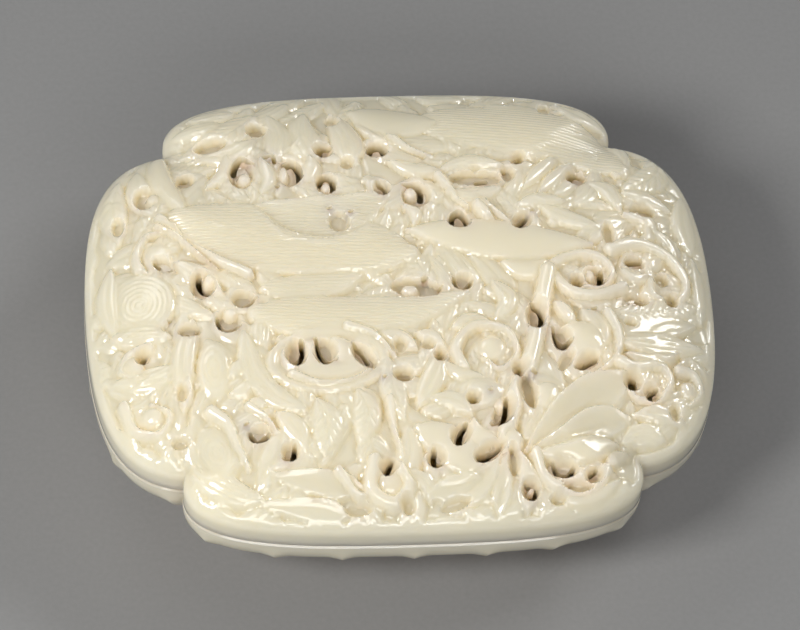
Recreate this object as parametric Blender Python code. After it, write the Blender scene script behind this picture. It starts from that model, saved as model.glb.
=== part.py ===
"""A four-lobed box carved from pale jade: a hollow bowl on a low foot, and a domed lid that lifts off,
carved all over in pierced relief with leaves, scrolls, a flower and long feathers.

Units are metres, +Z is up, the front is -Y. The box stands on the ground plane.
"""
import math
from collections import namedtuple

import bmesh
import bpy
import numpy as np
from mathutils import Vector
from mathutils.geometry import delaunay_2d_cdt

# Plan of the box: two wide lobes, front and back, and two end lobes, with a sharp notch between them.
HALF_LENGTH = 0.0700
HALF_DEPTH = 0.0576
NOTCH_X = 0.0503
NOTCH_Y = 0.0420

# Lid.
LID_SIDE = 0.0059            # upright band below the rim edge
LID_WALL = 0.0040            # thickness of that band
DOME_CROWN = 0.0093          # rise of the dome from the border to the middle
DOME_REACH = 0.0340          # distance from the edge at which the dome is level
EDGE_RISE = 0.0015           # quick rise of the rounded border
EDGE_REACH = 0.0012
LID_THICKNESS = 0.0052       # from the dome's face to the underside
GROUND_DEPTH = 0.0008        # the carved ground lies this far below the dome's face
POCKET_DEPTH = 0.0023        # deepest cut, round the piercings
BORDER_START = 0.0014        # plain border round the carving
BORDER_END = 0.0030

# Base.
BASE_HEIGHT = 0.0220
BASE_BAND = 0.0012           # upright band below the seam
FOOT_HEIGHT = 0.0026
FOOT_INSET = 0.0135          # how far the foot stands in from the rim
FOOT_WIDTH = 0.0030
FOOT_RECESS = 0.0012
BOWL_CURVE = 1.8             # 1 gives a straight flank, more a rounder one
BASE_WALL = 0.0045           # bowl wall, square to the side
FLOOR_THICKNESS = 0.0045
FLANGE_HEIGHT = 0.0022
FLANGE_WIDTH = 0.0020
RIDGE_PITCH = 0.0165         # upright ridges round the bowl, with flat panels between them
RIDGE_RISE = 0.0008

GAP = 0.0003                 # between lid and base
NOTCH_SHARE = 0.75           # a notch moves in by this share of an inset

SIDE_POINTS = 12             # corners of each half end lobe
FACE_POINTS = 14             # corners of each half wide lobe

# The carving is laid out on a sheet in millimetres, which is stretched over the plan.
SHEET_HALF_LENGTH = 70.0
SHEET_HALF_DEPTH = 57.6
SHEET_MIDDLE_Y = -1.1        # the sheet's own zero lies this far behind the middle of the box


def clear_scene():
    for thing in list(bpy.data.objects):
        bpy.data.objects.remove(thing, do_unlink=True)


def bezier(p0, p1, p2, p3, count):
    """Points of a cubic curve, without its last one."""
    t = np.arange(count)[:, None] / count
    p0, p1, p2, p3 = (np.array(p) for p in (p0, p1, p2, p3))
    return (1 - t) ** 3 * p0 + 3 * (1 - t) ** 2 * t * p1 + 3 * (1 - t) * t * t * p2 + t ** 3 * p3


def outline(inset):
    """The plan at an inset from the widest edge, counter-clockwise from the right end."""
    a = HALF_LENGTH - inset
    nx = NOTCH_X - NOTCH_SHARE * inset
    ny = NOTCH_Y - NOTCH_SHARE * inset
    b = HALF_DEPTH - inset
    end = bezier((a, 0), (a, 0.69 * ny), (nx + 0.69 * (a - nx), 0.957 * ny), (nx, ny), SIDE_POINTS)
    face = bezier((nx, ny), (1.07 * nx, ny + 0.98 * (b - ny)), (0.5 * nx, b), (0, b), FACE_POINTS)
    quarter = np.vstack([end, face, [(0, b)]])
    half = np.vstack([quarter[:-1], (quarter * [-1, 1])[:0:-1]])
    return np.vstack([half, -half])


def edge_distance(loop, x, y):
    """Distance of points from a closed loop, positive inside it."""
    best = np.full(x.shape, 1e9)
    inside = np.zeros(x.shape, bool)
    for (ax, ay), (bx, by) in zip(loop, np.roll(loop, -1, axis=0)):
        dx, dy = bx - ax, by - ay
        t = np.clip(((x - ax) * dx + (y - ay) * dy) / (dx * dx + dy * dy), 0, 1)
        best = np.minimum(best, np.hypot(x - ax - t * dx, y - ay - t * dy))
        if ay != by:
            crosses = ((ay > y) != (by > y)) & (x < dx * (y - ay) / dy + ax)
            inside ^= crosses
    return np.where(inside, best, -best)


def dome(d):
    """Height of the uncarved lid above its rim edge, by distance from the edge."""
    d = np.maximum(d, 0)
    border = EDGE_RISE * (1 - np.exp(-d / EDGE_REACH))
    return border + DOME_CROWN * (1 - (1 - np.minimum(d / DOME_REACH, 1)) ** 2.2)


def smooth(value, low, high):
    t = np.clip((value - low) / (high - low), 0, 1)
    return t * t * (3 - 2 * t)


# The carving. Every form lies along a smooth stroke through a few points of the sheet, and is laid over the
# forms before it.

def stroke(x, y, heading, length, turn, steps=12):
    """A stroke that leaves (x, y) at a heading in degrees and turns evenly by so many degrees on its way."""
    points = [(x, y)]
    for i in range(steps):
        angle = math.radians(heading + turn * (i + 0.5) / steps)
        x += length / steps * math.cos(angle)
        y += length / steps * math.sin(angle)
        points.append((x, y))
    return np.array(points)


def curve(*points):
    """A smooth stroke through a few points."""
    p = np.array(points, float)
    if len(p) == 2:
        return p[0] + np.linspace(0, 1, 5)[:, None] * (p[1] - p[0])
    ends = np.vstack([2 * p[0] - p[1], p, 2 * p[-1] - p[-2]])
    t = np.arange(5)[:, None] / 5
    pieces = []
    for a, b, c, d in zip(ends, ends[1:], ends[2:], ends[3:]):
        bend = (2 * a - 5 * b + 4 * c - d) * t ** 2 + (3 * b - a - 3 * c + d) * t ** 3
        pieces.append(b + 0.5 * ((c - a) * t + bend))
    return np.vstack(pieces + [p[-1:]])


def as_stroke(points):
    return points if isinstance(points, np.ndarray) else curve(*points)


def measure(points, x, y):
    """Distance of (x, y) from a stroke, how far along it lies from 0 to 1, and its side, +1 to the left."""
    best = np.full(x.shape, 1e9)
    along = np.zeros(x.shape)
    side = np.ones(x.shape)
    done = 0.0
    for (ax, ay), (bx, by) in zip(points, points[1:]):
        dx, dy = bx - ax, by - ay
        length = math.hypot(dx, dy)
        t = np.clip(((x - ax) * dx + (y - ay) * dy) / length ** 2, 0, 1)
        d = np.hypot(x - ax - t * dx, y - ay - t * dy)
        near = d < best
        best = np.where(near, d, best)
        along = np.where(near, done + t * length, along)
        side = np.where(near, np.sign(dx * (y - ay) - dy * (x - ax)), side)
        done += length
    return best, along / done, side


# A form: whether it is laid over the others or cut into them, its height and its distance outside its own
# edge, the stroke it runs along, and its reach.
Form = namedtuple("Form", "kind shape points reach")

# How the half width of a form runs along its length, from 0 to 1.
PROFILES = {
    "leaf": lambda s: np.sin(math.pi * np.clip(s, 0.01, 0.99)) ** 0.7,
    "petal": lambda s: np.sin(math.pi * np.clip(s, 0.02, 0.99) ** 1.7) ** 0.55,
    "drop": lambda s: np.sin(math.pi * np.clip(s, 0.02, 0.99) ** 0.6) ** 0.6,
    "lobe": lambda s: np.sin(math.pi * np.clip(s, 0.01, 0.99)) ** 0.4,
    "band": lambda s: np.full(s.shape, 1.0),
    "taper": lambda s: 1.0 - 0.75 * s,
}
EYE_SLOPE = 1.5              # the walls of the deep cuts
EDGE_SOFT = 0.70             # a form's edge falls off over this width on both sides


def leaf(points, width, level=0.0, crown=0.5, shape="leaf", tilt=0.0):
    """A leaf, petal or feather. A negative crown scoops it out, and tilt lifts its left edge."""
    path = as_stroke(points)

    def form(px, py):
        d, share, side = measure(path, px, py)
        half = np.maximum(0.5 * width * PROFILES[shape](share), 0.05)
        across = np.minimum(d / half, 1)
        return level + crown * (1 - across ** 2) + tilt * side * across, d - half
    return Form("over", form, path, 0.5 * width)


def vine(points, radius, level=0.0, shape="taper"):
    """A rounded stem or ridge."""
    path = as_stroke(points)

    def form(px, py):
        d, share, _ = measure(path, px, py)
        half = np.maximum(radius * PROFILES[shape](share), 0.05)
        return level + 0.75 * np.sqrt(np.maximum(half ** 2 - d ** 2, 0)), d - half
    return Form("over", form, path, radius)


def oval(x, y, rx, ry, angle, px, py):
    """Share of an oval's radius at which a point lies, and its distance outside the oval."""
    c, s = math.cos(math.radians(angle)), math.sin(math.radians(angle))
    u = (px - x) * c + (py - y) * s
    v = -(px - x) * s + (py - y) * c
    r = np.maximum(np.hypot(u / rx, v / ry), 1e-6)
    return r, (1 - 1 / r) * np.hypot(u, v)


def boss(x, y, rx, ry=None, level=0.0, crown=0.5, angle=0.0):
    """A rounded or, with a negative crown, dished button."""
    ry = ry or rx

    def form(px, py):
        r, out = oval(x, y, rx, ry, angle, px, py)
        return level + crown * (1 - np.minimum(r, 1) ** 2), out
    return Form("over", form, np.array([(x, y)]), max(rx, ry))


def pocket(x, y, rx, ry=None, angle=0.0, depth=POCKET_DEPTH * 1000):
    """A cut with steep walls, in which piercings sit."""
    ry = ry or rx

    def form(px, py):
        _, out = oval(x, y, rx, ry, angle, px, py)
        return -depth + EYE_SLOPE * np.maximum(out + 0.35 * min(rx, ry), 0), out
    return Form("cut", form, np.array([(x, y)]), max(rx, ry))


def background():
    """Low leaves that fill the ground between the main forms."""
    low = [
        (-8, 52, -62, 20, -12, 8), (-24, 52, -70, 20, -10, 8), (-4, 34, -70, 20, 20, 8),
        (7, 34, -60, 20, -10, 8),
        (6, 22, -10, 20, -25, 9), (28, 25, -60, 16, 20, 8), (10, 5, -12, 22, -30, 9),
        (12, -3, -30, 18, -50, 8),
        (49, 40, -62, 22, -25, 9), (65, 24, -92, 28, 0, 7), (44, 8, 60, 16, -20, 7),
        (-43, 6, -80, 20, 15, 9),
        (-52, -8, -70, 22, 10, 9), (-40, -14, -95, 20, 20, 9), (-66, 12, -92, 30, 4, 6),
        (-66, -14, -75, 26, 30, 8),
        (-48, 36, -95, 16, 10, 10), (-40, 34, -50, 18, 20, 9), (-62, 36, -70, 20, -20, 10),
        (32, -8, -50, 24, 20, 12),
        (48, -5, -60, 18, 40, 8), (50, -30, -20, 18, 40, 9), (40, -46, -20, 14, 50, 8),
        (12, -54, 8, 22, 10, 6),
        (-14, -53, 2, 26, 4, 6), (2, -24, -20, 20, -30, 10), (4, -36, -30, 16, -30, 9),
        (20, -10, -70, 24, 5, 9),
        (-30, -43, -10, 26, -5, 7), (-52, -32, -60, 20, 30, 9), (58, -12, -70, 26, -30, 9),
        (14, 29, 5, 20, -10, 9),
        (34, 30, -20, 20, -40, 9), (33, 14, 10, 16, 20, 8), (10, 52, -8, 30, -12, 7),
        (-44, 50, -10, 26, 5, 8),
    ]
    return [leaf(stroke(*bend), width, -0.45, 0.35) for *bend, width in low]


def bodies():
    """The broad feathered bodies in the middle and at the back right."""
    return [
        leaf(((6, 44.5), (22, 42.5), (38, 39.5), (52, 31)), 15, 0.1, 0.6, "lobe"),
        leaf(((-8, 48), (2, 44), (10, 44)), 9, 0.2, 0.5, "lobe"),
        leaf(((-49, 19), (-34, 13), (-16, 10), (2, 7)), 18, 0.3, 0.8, "lobe"),
        leaf(((-31, -1.5), (-20, -1), (-10, 1)), 7, 0.2, 0.3, "lobe"),
        leaf(((-32, -8), (-16, -9.5), (0, -8.5), (14, -4)), 11, 0.3, 0.6, "drop"),
        leaf(((-31, 20.5), (-22, 17.5), (-12, 17.5), (-2, 23)), 11, 0.5, -0.5, "leaf", 0.3),
        leaf(((2, 13), (14, 11.5), (28, 9), (43, 8)), 10, 0.4, 0.6),
        leaf(((-36, -13), (-34.5, -22), (-30, -29), (-24, -33)), 5.5, 0.3, 0.3, "lobe"),
    ]


def back_left():
    return [
        leaf(((-52, 41), (-52, 31), (-47.5, 20)), 5.0, 0.3, 0.5, "lobe", 0.2),
        leaf(((-45, 49), (-40, 49.5), (-34, 50)), 5.0, 0.0, 0.4),
        leaf(((-49, 44), (-42, 45), (-35, 45.5)), 5.0, 0.1, 0.3),
        leaf(((-31, 47), (-38, 41), (-47, 38)), 8.0, 0.3, 0.4, "drop", 0.2),
        leaf(((-30, 40), (-36, 36), (-43, 36.5)), 5.0, 0.4, 0.3),
        leaf(((-18, 34), (-20, 41), (-19, 48)), 8.0, 0.3, 0.4, "drop", -0.2),
        leaf(((-26, 35), (-25, 41), (-27, 48)), 6.0, 0.1, 0.4, "drop"),
        leaf(((-9, 33), (-10, 40), (-13, 48)), 7.0, 0.2, 0.4, "drop"),
        leaf(((-5, 50), (-5, 44), (-1, 38)), 5.0, 0.3, 0.4),
        leaf(((-42, 27), (-38, 31), (-37, 36)), 3.4, 0.4, 0.4),
        leaf(((-21, 26), (-18.5, 30), (-18.5, 34)), 3.4, 0.4, 0.4),
        leaf(((-61, 33), (-63, 26), (-62, 15)), 6.0, 0.1, 0.5),
        leaf(((-57, 35), (-57, 28), (-54, 20)), 5.5, 0.2, 0.3),
        vine(((-53, 19), (-49, 15.8), (-44, 10.5), (-40, 6), (-34, 2.4)), 1.1, 0.9, "band"),
    ]


def left_end():
    return [
        vine(((-57.5, 5), (-58.5, 10), (-56, 15), (-51.5, 15)), 1.3, 0.5),
        boss(-54, 9, 3.0, 3.4, 0.2, 0.4),
        boss(-58.5, -3, 8, 8.5, 0.1, 0.5),
        leaf(((-64, 9), (-65.5, 0), (-64, -9)), 4.5, 0.1, 0.5),
        leaf(((-50, 7), (-45.5, 3), (-40, -3)), 5.0, 0.4, 0.5),
        leaf(((-52, -12), (-58, -11), (-65, -9.5)), 6.0, 0.2, 0.4),
        leaf(((-50, -20), (-57, -22), (-65, -21)), 6.0, 0.2, 0.4),
        vine(((-57, -14), (-61.5, -15), (-63, -19), (-59, -21)), 1.1, 0.6),
        boss(-60.5, -18, 2.3, 2.3, 0.4, 0.5),
        leaf(((-47, -9), (-49.5, -18), (-50, -28)), 5.0, 0.3, 0.4, "lobe"),
        boss(-43, -21.5, 3.6, 7.0, 0.1, 0.5),
        vine(((-63, -27), (-61, -33), (-55.5, -35), (-53, -31), (-57, -28)), 1.3, 0.5),
        boss(-57, -31, 2.2, 2.0, 0.4, 0.4),
        leaf(((-49, -37), (-47, -44), (-40, -50), (-34, -52)), 6.0, 0.2, 0.4, "lobe"),
        boss(-43.5, -40.5, 4.0, 6.2, 0.1, 0.4, 20),
        vine(((-44, -31.5), (-40.7, -34.5), (-38.8, -40), (-36.5, -45.5)), 1.5, 0.6),
        leaf(((-40, -28), (-37, -27), (-35, -24.5)), 3.4, 0.4, 0.4),
        leaf(((-36, -30), (-34, -30.5), (-32, -31)), 3.4, 0.4, 0.4),


    ]


def medallion():
    """The oval panel in the lower left, its raised rim, and the small leaves to its right."""
    return [
        boss(-17.8, -20.4, 13.6, 8.4, 0.5, 0.2, 3),
        boss(-17.8, -20.4, 11.6, 6.6, 0.0, 0.2, 3),
        boss(-17.8, -20.4, 10.0, 5.2, 0.4, 0.5, 3),
        leaf(((-27, -17), (-26.5, -20), (-25, -23)), 3.4, 0.5, 0.4),
        boss(-15.8, -18.2, 3.4, 3.4, 0.6, 0.5),
        vine(((-13, -12), (-7, -14.5), (-3, -20)), 1.1, 0.8),
        leaf(((-6, -14), (-2, -15), (2, -18)), 3.8, 0.4, 0.4),
        leaf(((2, -14), (5, -15), (8, -18)), 3.4, 0.4, 0.4),
        leaf(((-5, -20), (-4, -28), (-2, -36)), 5.5, 0.3, 0.4),
        leaf(((8, -18), (5, -26), (1, -33)), 5.5, 0.3, 0.5),
        leaf(((-12, -28), (-10, -34), (-12, -41)), 6.0, 0.1, 0.4),
        leaf(((-21, -30), (-19, -36), (-20, -43)), 6.5, 0.1, 0.4),
        leaf(((-30, -33), (-26, -37), (-24, -42)), 5.0, 0.2, 0.4),
    ]


def back_right():
    return [
        leaf(((-1, 32), (4, 29.5), (11, 29)), 3.4, 0.3, 0.4),
        leaf(((11, 23.5), (17, 21.5), (24, 24)), 4.4, 0.3, 0.4),
        leaf(((10, 29), (17, 31.5), (25, 30)), 3.6, 0.4, 0.4),
        leaf(((28, 33), (36, 37), (44, 37), (50, 30)), 4.2, 0.5, 0.4, "lobe"),
        leaf(((27, 19), (32, 20.5), (38, 20)), 3.6, 0.4, 0.5),
        leaf(((50.5, 41), (51, 35), (50.5, 29)), 7.0, 0.4, 0.3, "lobe"),
        leaf(((61, 39), (59.5, 30), (51, 23)), 7.0, 0.3, 0.5),
        leaf(((66, 26), (65, 18), (66, 9)), 5.5, 0.2, 0.4),
        leaf(((44, 26), (48, 23.5), (50.5, 18)), 4.0, 0.3, 0.4),
        leaf(((51, 23), (57, 22.5), (62, 20)), 3.4, 0.4, 0.4),
        leaf(((57, 14), (61, 10), (62, 4)), 4.0, 0.3, 0.5),
        leaf(((32, 19), (38, 15.5), (45, 13)), 4.2, 0.2, 0.4),
        leaf(((38, 47), (31, 48), (22, 50)), 4.2, 0.1, 0.4),
        leaf(((50, 44), (44, 47), (38, 51)), 4.0, 0.2, 0.4),
        vine(((18.5, 19), (21, 14), (25, 9), (28.5, 5.5)), 1.5, 1.0),


    ]


def right_end():
    """The scrolls that wind round the right end."""
    return [
        leaf(((22, 4), (28, 2), (33, 4)), 5.0, 0.3, 0.5),
        vine(((33, 1), (37, -4.2), (43, -5.3), (49, -3)), 1.2, 0.8, "band"),
        vine(((34, 3), (38, 5.5), (44, 5), (47, 1), (44, -3.2), (39, -2.7)), 1.3, 0.6),
        boss(41.8, 0.3, 2.2, 2.4, 0.3, 0.5),
        vine(((47, 7), (53, 9), (60, 7), (64, 1), (61.5, -5), (56, -4), (56, 0), (58.5, 2.5)), 1.5, 0.7),
        leaf(((45, -10), (54, -9.5), (66, -5)), 7.0, 0.3, 0.3),
        leaf(((44, -13), (53, -13.5), (65, -10)), 6.0, 0.5, -0.4, "leaf", -0.3),
        leaf(((46, -17), (55, -17), (66, -16)), 5.5, 0.4, 0.4),
        leaf(((48, -20), (54, -21.5), (60, -19)), 4.0, 0.5, 0.3),
        leaf(((63, -19), (66, -24), (63, -30)), 4.5, 0.2, 0.4),
        vine(((46.5, -22), (50, -23.5), (56, -22.5), (58, -26), (55, -30), (49, -30)), 1.3, 0.7),
        vine(((60, -22.7), (63.5, -23), (65, -27), (62, -30.5)), 1.2, 0.6),
        leaf(((49, -34), (55, -33.5), (61, -35)), 4.0, 0.2, 0.4),
        leaf(((46, -40), (51, -38), (56, -39)), 5.0, 0.1, 0.4),
        leaf(((39, -9), (43, -13), (43, -19)), 4.4, 0.3, 0.4),
        boss(38, -17.5, 5.4, 5.4, 0.4, 0.8),
        vine(((45, -10), (47, -15), (46, -21), (41, -25)), 1.2, 0.7),
    ]


def lower_right():
    """The stem, the scrolls on both its sides, and the open flower."""
    return [
        leaf(((20, -1), (23, -6), (20, -11)), 4.5, 0.4, 0.4),
        leaf(((10, -13), (14, -11.5), (19, -12)), 4.4, 0.5, 0.4),
        vine(((12, -24), (10.5, -18), (15, -12.8), (22, -14), (24, -20), (20, -24), (16, -21)), 1.3, 0.7),
        boss(18.5, -18.5, 3.0, 3.0, 0.3, 0.6),
        leaf(((8, -22), (11, -25), (16, -26)), 3.4, 0.4, 0.4),
        boss(15.0, -29.5, 5.0, 3.6, 0.2, 0.5),
        leaf(((4, -31), (9, -31.5), (13, -35)), 4.0, 0.3, 0.4),
        leaf(((1, -38), (8, -42), (18, -49)), 9.0, 0.4, 0.4, "lobe"),
        leaf(((13, -36), (14, -40), (19, -42)), 4.0, 0.4, 0.4),
        vine(((20, -42), (21, -36), (27, -21), (31, -5), (32.5, 1)), 1.9, 0.9, "band"),
        boss(30, -31, 3.0, 3.4, 0.3, 0.5),

        leaf(((24, -43.5), (31, -37.5), (39, -31), (48, -26)), 9.5, 1.0, -1.0, "petal", 0.5),
        leaf(((26, -43), (34, -40.5), (41, -36.5), (47.5, -35)), 7.5, 0.9, -0.8, "petal", 0.4),
        leaf(((25, -44.5), (34, -44), (44.5, -41)), 5.5, 0.7, 0.4, "petal"),
        vine(((26.5, -44), (28, -49), (33, -52), (39, -51.3), (42, -47)), 1.1, 0.7, "band"),
        boss(33, -46.0, 2.6, 1.4, 0.3, 0.4),
        leaf(((22.5, -43), (24.5, -49), (24, -56)), 4.6, 0.5, 0.4, "petal"),
        leaf(((20.5, -43), (19, -49), (17.8, -56)), 4.0, 0.7, -0.5, "petal", 0.3),
        leaf(((18.5, -43), (14, -50), (9, -54)), 5.4, 0.4, -0.4, "petal", 0.3),
        boss(21.5, -41.5, 2.2, 2.2, 1.0, 0.5),
        leaf(((2, -53), (8, -50.5), (14, -49)), 4.0, 0.4, -0.3, "leaf", 0.3),
    ]


def lower_edge():
    return [
        leaf(((-33, -47), (-24, -48.5), (-12, -50.5)), 5.6, 0.6, -0.6, "petal", 0.4),
        leaf(((-35, -52.5), (-26, -54), (-15, -55.5)), 4.6, 0.5, -0.5, "petal", 0.3),
        vine(((-17, -47), (-13, -52), (-9, -50.5), (-11, -47.5)), 1.1, 0.7),
        vine(((-9, -45), (-10, -51), (-5, -54), (-1.5, -50), (-4, -46.8)), 1.5, 0.6, "band"),
        boss(-5.8, -49.8, 2.4, 2.4, 0.4, 0.5),
        leaf(((-2, -47), (2, -50), (3, -54)), 3.4, 0.3, 0.4),
    ]


def pockets():
    """Round and oval cuts in which the piercings sit."""
    return [
        pocket(-34, 30, 3.0, 4.2), pocket(-23.2, 29.6, 2.8, 4.0), pocket(-29.8, 43.2, 2.2),
        pocket(-40.4, 39.6, 3.2, 1.6),
        pocket(-46.5, 30.2, 2.0), pocket(-55.8, 26, 2.4, 3.2), pocket(-52.5, 6.8, 2.6, 1.6, -35, 1.8),
        pocket(-44.4, 0.2, 3.0, 3.6), pocket(-35.6, -3.9, 2.6, 2.2), pocket(-39.2, -9.4, 3.4),
        pocket(-47.6, -11, 2.6, 1.5),
        pocket(-24.8, -18.4, 2.2, 3.2), pocket(-18.4, -18.2, 2.4, 3.4),
        pocket(-9.8, -19.6, 1.8, 3.6, 35), pocket(-15.3, 26.4, 2.3, 3.0), pocket(-15.2, 35.9, 2.0),
        pocket(-3.2, 35.8, 2.6, 2.2),
        pocket(4.6, 22.6, 3.8, 3.8), pocket(13.8, 15.8, 2.6, 2.4),
        pocket(18.4, 26.8, 6.0, 1.9),
        pocket(41.2, 27.6, 2.4, 2.2),
        pocket(27.8, 15.2, 2.4, 1.9, 45),
        pocket(55.6, 18.8, 2.8, 1.4), pocket(-13, 15.8, 3.0, 3.0, depth=1.7),
        pocket(3.0, -2.0, 6.0, 2.5, -8),
        pocket(13.4, -0.6, 2.5, 2.2), pocket(-1.4, -24.6, 2.0, 1.6), pocket(43.0, -0.2, 2.4, 2.6),
        pocket(52.3, 4.2, 2.2, 1.3), pocket(51.8, -5.6, 2.6, 1.5),

        pocket(28.8, -10.2, 2.0, 3.4), pocket(34.0, -16.4, 1.9, 3.0), pocket(39.4, -22.2, 3.0, 1.4, 25),
        pocket(49.3, -26.6, 2.0), pocket(53.4, -28.8, 1.9),
        pocket(25.8, -29.5, 1.4, 4.2, 8), pocket(19.4, -34.6, 2.0, 3.2, -25),
        pocket(10.2, -39.2, 1.8, 2.8, -25),
        pocket(4.4, -44.6, 1.9), pocket(16.2, -43.6, 3.3, 1.5, 28), pocket(25, -51.6, 2.0),
        pocket(32.4, -47.4, 2.8, 1.5),
        pocket(-6, -45.8, 1.3, 2.0, -25), pocket(-33.8, -37.8, 2.6, 1.9),
        pocket(-27.3, -42.2, 1.9),
        pocket(21.4, -45.8, 1.0, 2.8, depth=1.8),
        pocket(-13, -54.6, 2.8, 1.2, depth=1.7),
        pocket(8.2, -54.2, 3.4, 1.1, 15, 1.7),
        pocket(-62, 19.4, 1.2, 2.2, depth=1.7),
        pocket(47, 11.6, 1.3, 2.8, depth=1.7),
        pocket(35.5, -50.8, 3.0, 1.0, depth=1.6),
        pocket(34.5, -22, 1.3, 2.6, -35, 1.8),
    ]

def piercings():
    """Slots cut right through: a stroke and the slot's width at its start and end."""
    return [
        (curve((-35.7, 31.3), (-35, 33.4), (-33.4, 34.3), (-31.2, 32.6)), 1.6, 0.8),
        (curve((-28.8, 34.2), (-26.9, 34.6), (-26.4, 32.6)), 1.2, 1.1),
        (curve((-24.3, 32.2), (-22.4, 32.6), (-21.2, 30.6), (-21, 27.8)), 1.4, 1.5),
        (curve((-16.2, 34.6), (-16.0, 36.3), (-15.0, 37.1), (-13.5, 36.7)), 1.5, 0.9),
        (curve((-16.9, 26.6), (-16.0, 28.3), (-14.4, 28.3), (-13.7, 26.6), (-13.8, 24.5)), 1.2, 1.3),
        (curve((-5, 35.3), (-4.3, 36.8), (-2.2, 37.0), (-1.3, 35)), 1.5, 1.6),
        (curve((-3.8, 26.3), (-2.4, 25.4), (-1.9, 24.0), (-2.8, 23)), 1.1, 1.1),
        (curve((1.8, 25.4), (4.6, 25.4), (5.8, 24.2), (5.6, 22)), 0.9, 1.5),
        (curve((12, 15), (12.5, 17.2), (14.0, 17.7), (15.2, 16.3), (15.8, 14.2)), 1.2, 1.3),
        (curve((18.5, 26.5), (20.6, 26.7)), 1.3, 1.3),
        (curve((28.3, 32.1), (28.9, 32.8)), 1.4, 1.3),
        (curve((39.8, 26), (39.9, 27.9), (41.0, 28.9), (43.3, 28.1)), 1.5, 0.8),
        (curve((26.5, 14), (27.6, 15), (28.8, 16.3)), 1.6, 1.2),
        (curve((-54.4, 7.7), (-53.5, 6.9)), 1.1, 1.0),
        (curve((-45, 3), (-44.9, 1), (-44.1, -0.5), (-42.4, -1.1)), 1.4, 1.7),
        (curve((-35.3, -5), (-32.6, -3.7)), 1.1, 1.0),
        (curve((-41.5, -8.4), (-40.9, -10.5), (-39.2, -11.4), (-37, -10.7)), 1.1, 1.7),
        (curve((-49.4, -11.7), (-48.2, -11.5)), 1.1, 1.0),
        (curve((-58.3, -16.3), (-57.8, -15.6)), 1.4, 1.3),
        (curve((-23.5, -15.4), (-23.3, -18), (-24.4, -19.9), (-26.4, -20.4)), 1.2, 1.2),
        (curve((-20.3, -15), (-19.6, -17.8), (-18.3, -19.8), (-16.3, -20.6)), 1.2, 1.5),
        (curve((-12.1, -16.4), (-10.2, -18.3), (-9.1, -20.6)), 1.0, 1.1),
        (curve((-2.1, -25.2), (-0.4, -25.2)), 1.4, 1.3),
        (curve((11.5, 0.5), (12, -1.2), (13.6, -1.9), (15.2, -0.4)), 1.1, 1.2),
        (curve((38.2, -1.7), (39, -1.4)), 1.6, 1.5),
        (curve((44.1, -1.8), (44.3, 1.2)), 1.5, 1.4),
        (curve((28.3, -7.1), (29.8, -8.4), (30.2, -10.6), (29.4, -12.6), (27.4, -13.3)), 1.3, 1.2),
        (curve((32.3, -13.4), (32.8, -15.9), (34.2, -17.4), (35.8, -17)), 1.0, 2.0),
        (curve((37.6, -23), (41.4, -21)), 1.3, 1.2),
        (curve((50.7, 4.7), (53.8, 5.2)), 1.1, 1.0),
        (curve((52, -5.3), (54.4, -6.2)), 1.1, 1.0),
        (curve((49.2, -25.9), (49.3, -27.2)), 2.0, 1.9),
        (curve((53, -30.1), (53.1, -28.6), (54.5, -27.6)), 1.3, 1.2),
        (curve((30.1, -46.4), (31.3, -47.9), (33.2, -48.1), (34.5, -46.9)), 1.3, 1.3),
        (curve((38.1, -48.0), (39.5, -47.1)), 1.0, 1.0),
        (curve((23.8, -50.3), (25.6, -50.8), (26, -52), (24.6, -52.9)), 1.1, 1.1),
        (curve((14.2, -44.5), (16.6, -43.4), (19, -41.9)), 2.0, 0.8),
        (curve((11.4, -36.9), (10.1, -38.9), (9.6, -41.3)), 1.2, 1.5),
        (curve((4.1, -42.9), (4, -44.9), (5.6, -45.9)), 1.3, 1.3),
        (curve((20.6, -31.6), (20.2, -34.6), (19, -36.7), (17.2, -37.4)), 1.1, 1.4),
        (curve((-5.3, -44.6), (-6.6, -46.9)), 1.1, 1.4),
        (curve((-35.7, -37.2), (-34.4, -38.7), (-32, -37.7)), 1.3, 1.4),
        (curve((-26.3, -40.8), (-26.8, -43), (-28.6, -43.7)), 1.1, 1.5),
        (curve((23.6, -25), (24.2, -23.4)), 1.0, 1.0),
    ]


def slot_loop(points, start_width, end_width):
    """A closed counter-clockwise loop round a slot, coarse enough for a light solid."""
    length = np.sum(np.hypot(*np.diff(points, axis=0).T))
    count = max(1, min(3, int(round(length / 2.3))))
    picks = [points[int(round(i * (len(points) - 1) / count))] for i in range(count + 1)]
    right, left = [], []
    for i, p in enumerate(picks):
        ahead = picks[min(i + 1, count)] - picks[max(i - 1, 0)]
        ahead = ahead / np.hypot(*ahead)
        normal = np.array([-ahead[1], ahead[0]])
        half = 0.5 * (start_width + (end_width - start_width) * i / count)
        if i == 0:
            p = p + 0.12 * half * ahead
        if i == count:
            p = p - 0.12 * half * ahead
        right.append(p - half * normal)
        left.append(p + half * normal)
    first = picks[1] - picks[0]
    last = picks[-1] - picks[-2]
    tip = picks[-1] + 0.5 * end_width * last / np.hypot(*last)
    tail = picks[0] - 0.5 * start_width * first / np.hypot(*first)
    return np.array(right + [tip] + left[::-1] + [tail])


def stretch(points):
    """From the sheet to the plan, in metres."""
    x = points[:, 0] * HALF_LENGTH / SHEET_HALF_LENGTH
    y = (points[:, 1] - SHEET_MIDDLE_Y) * HALF_DEPTH / SHEET_HALF_DEPTH
    return np.column_stack([x, y])


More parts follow.
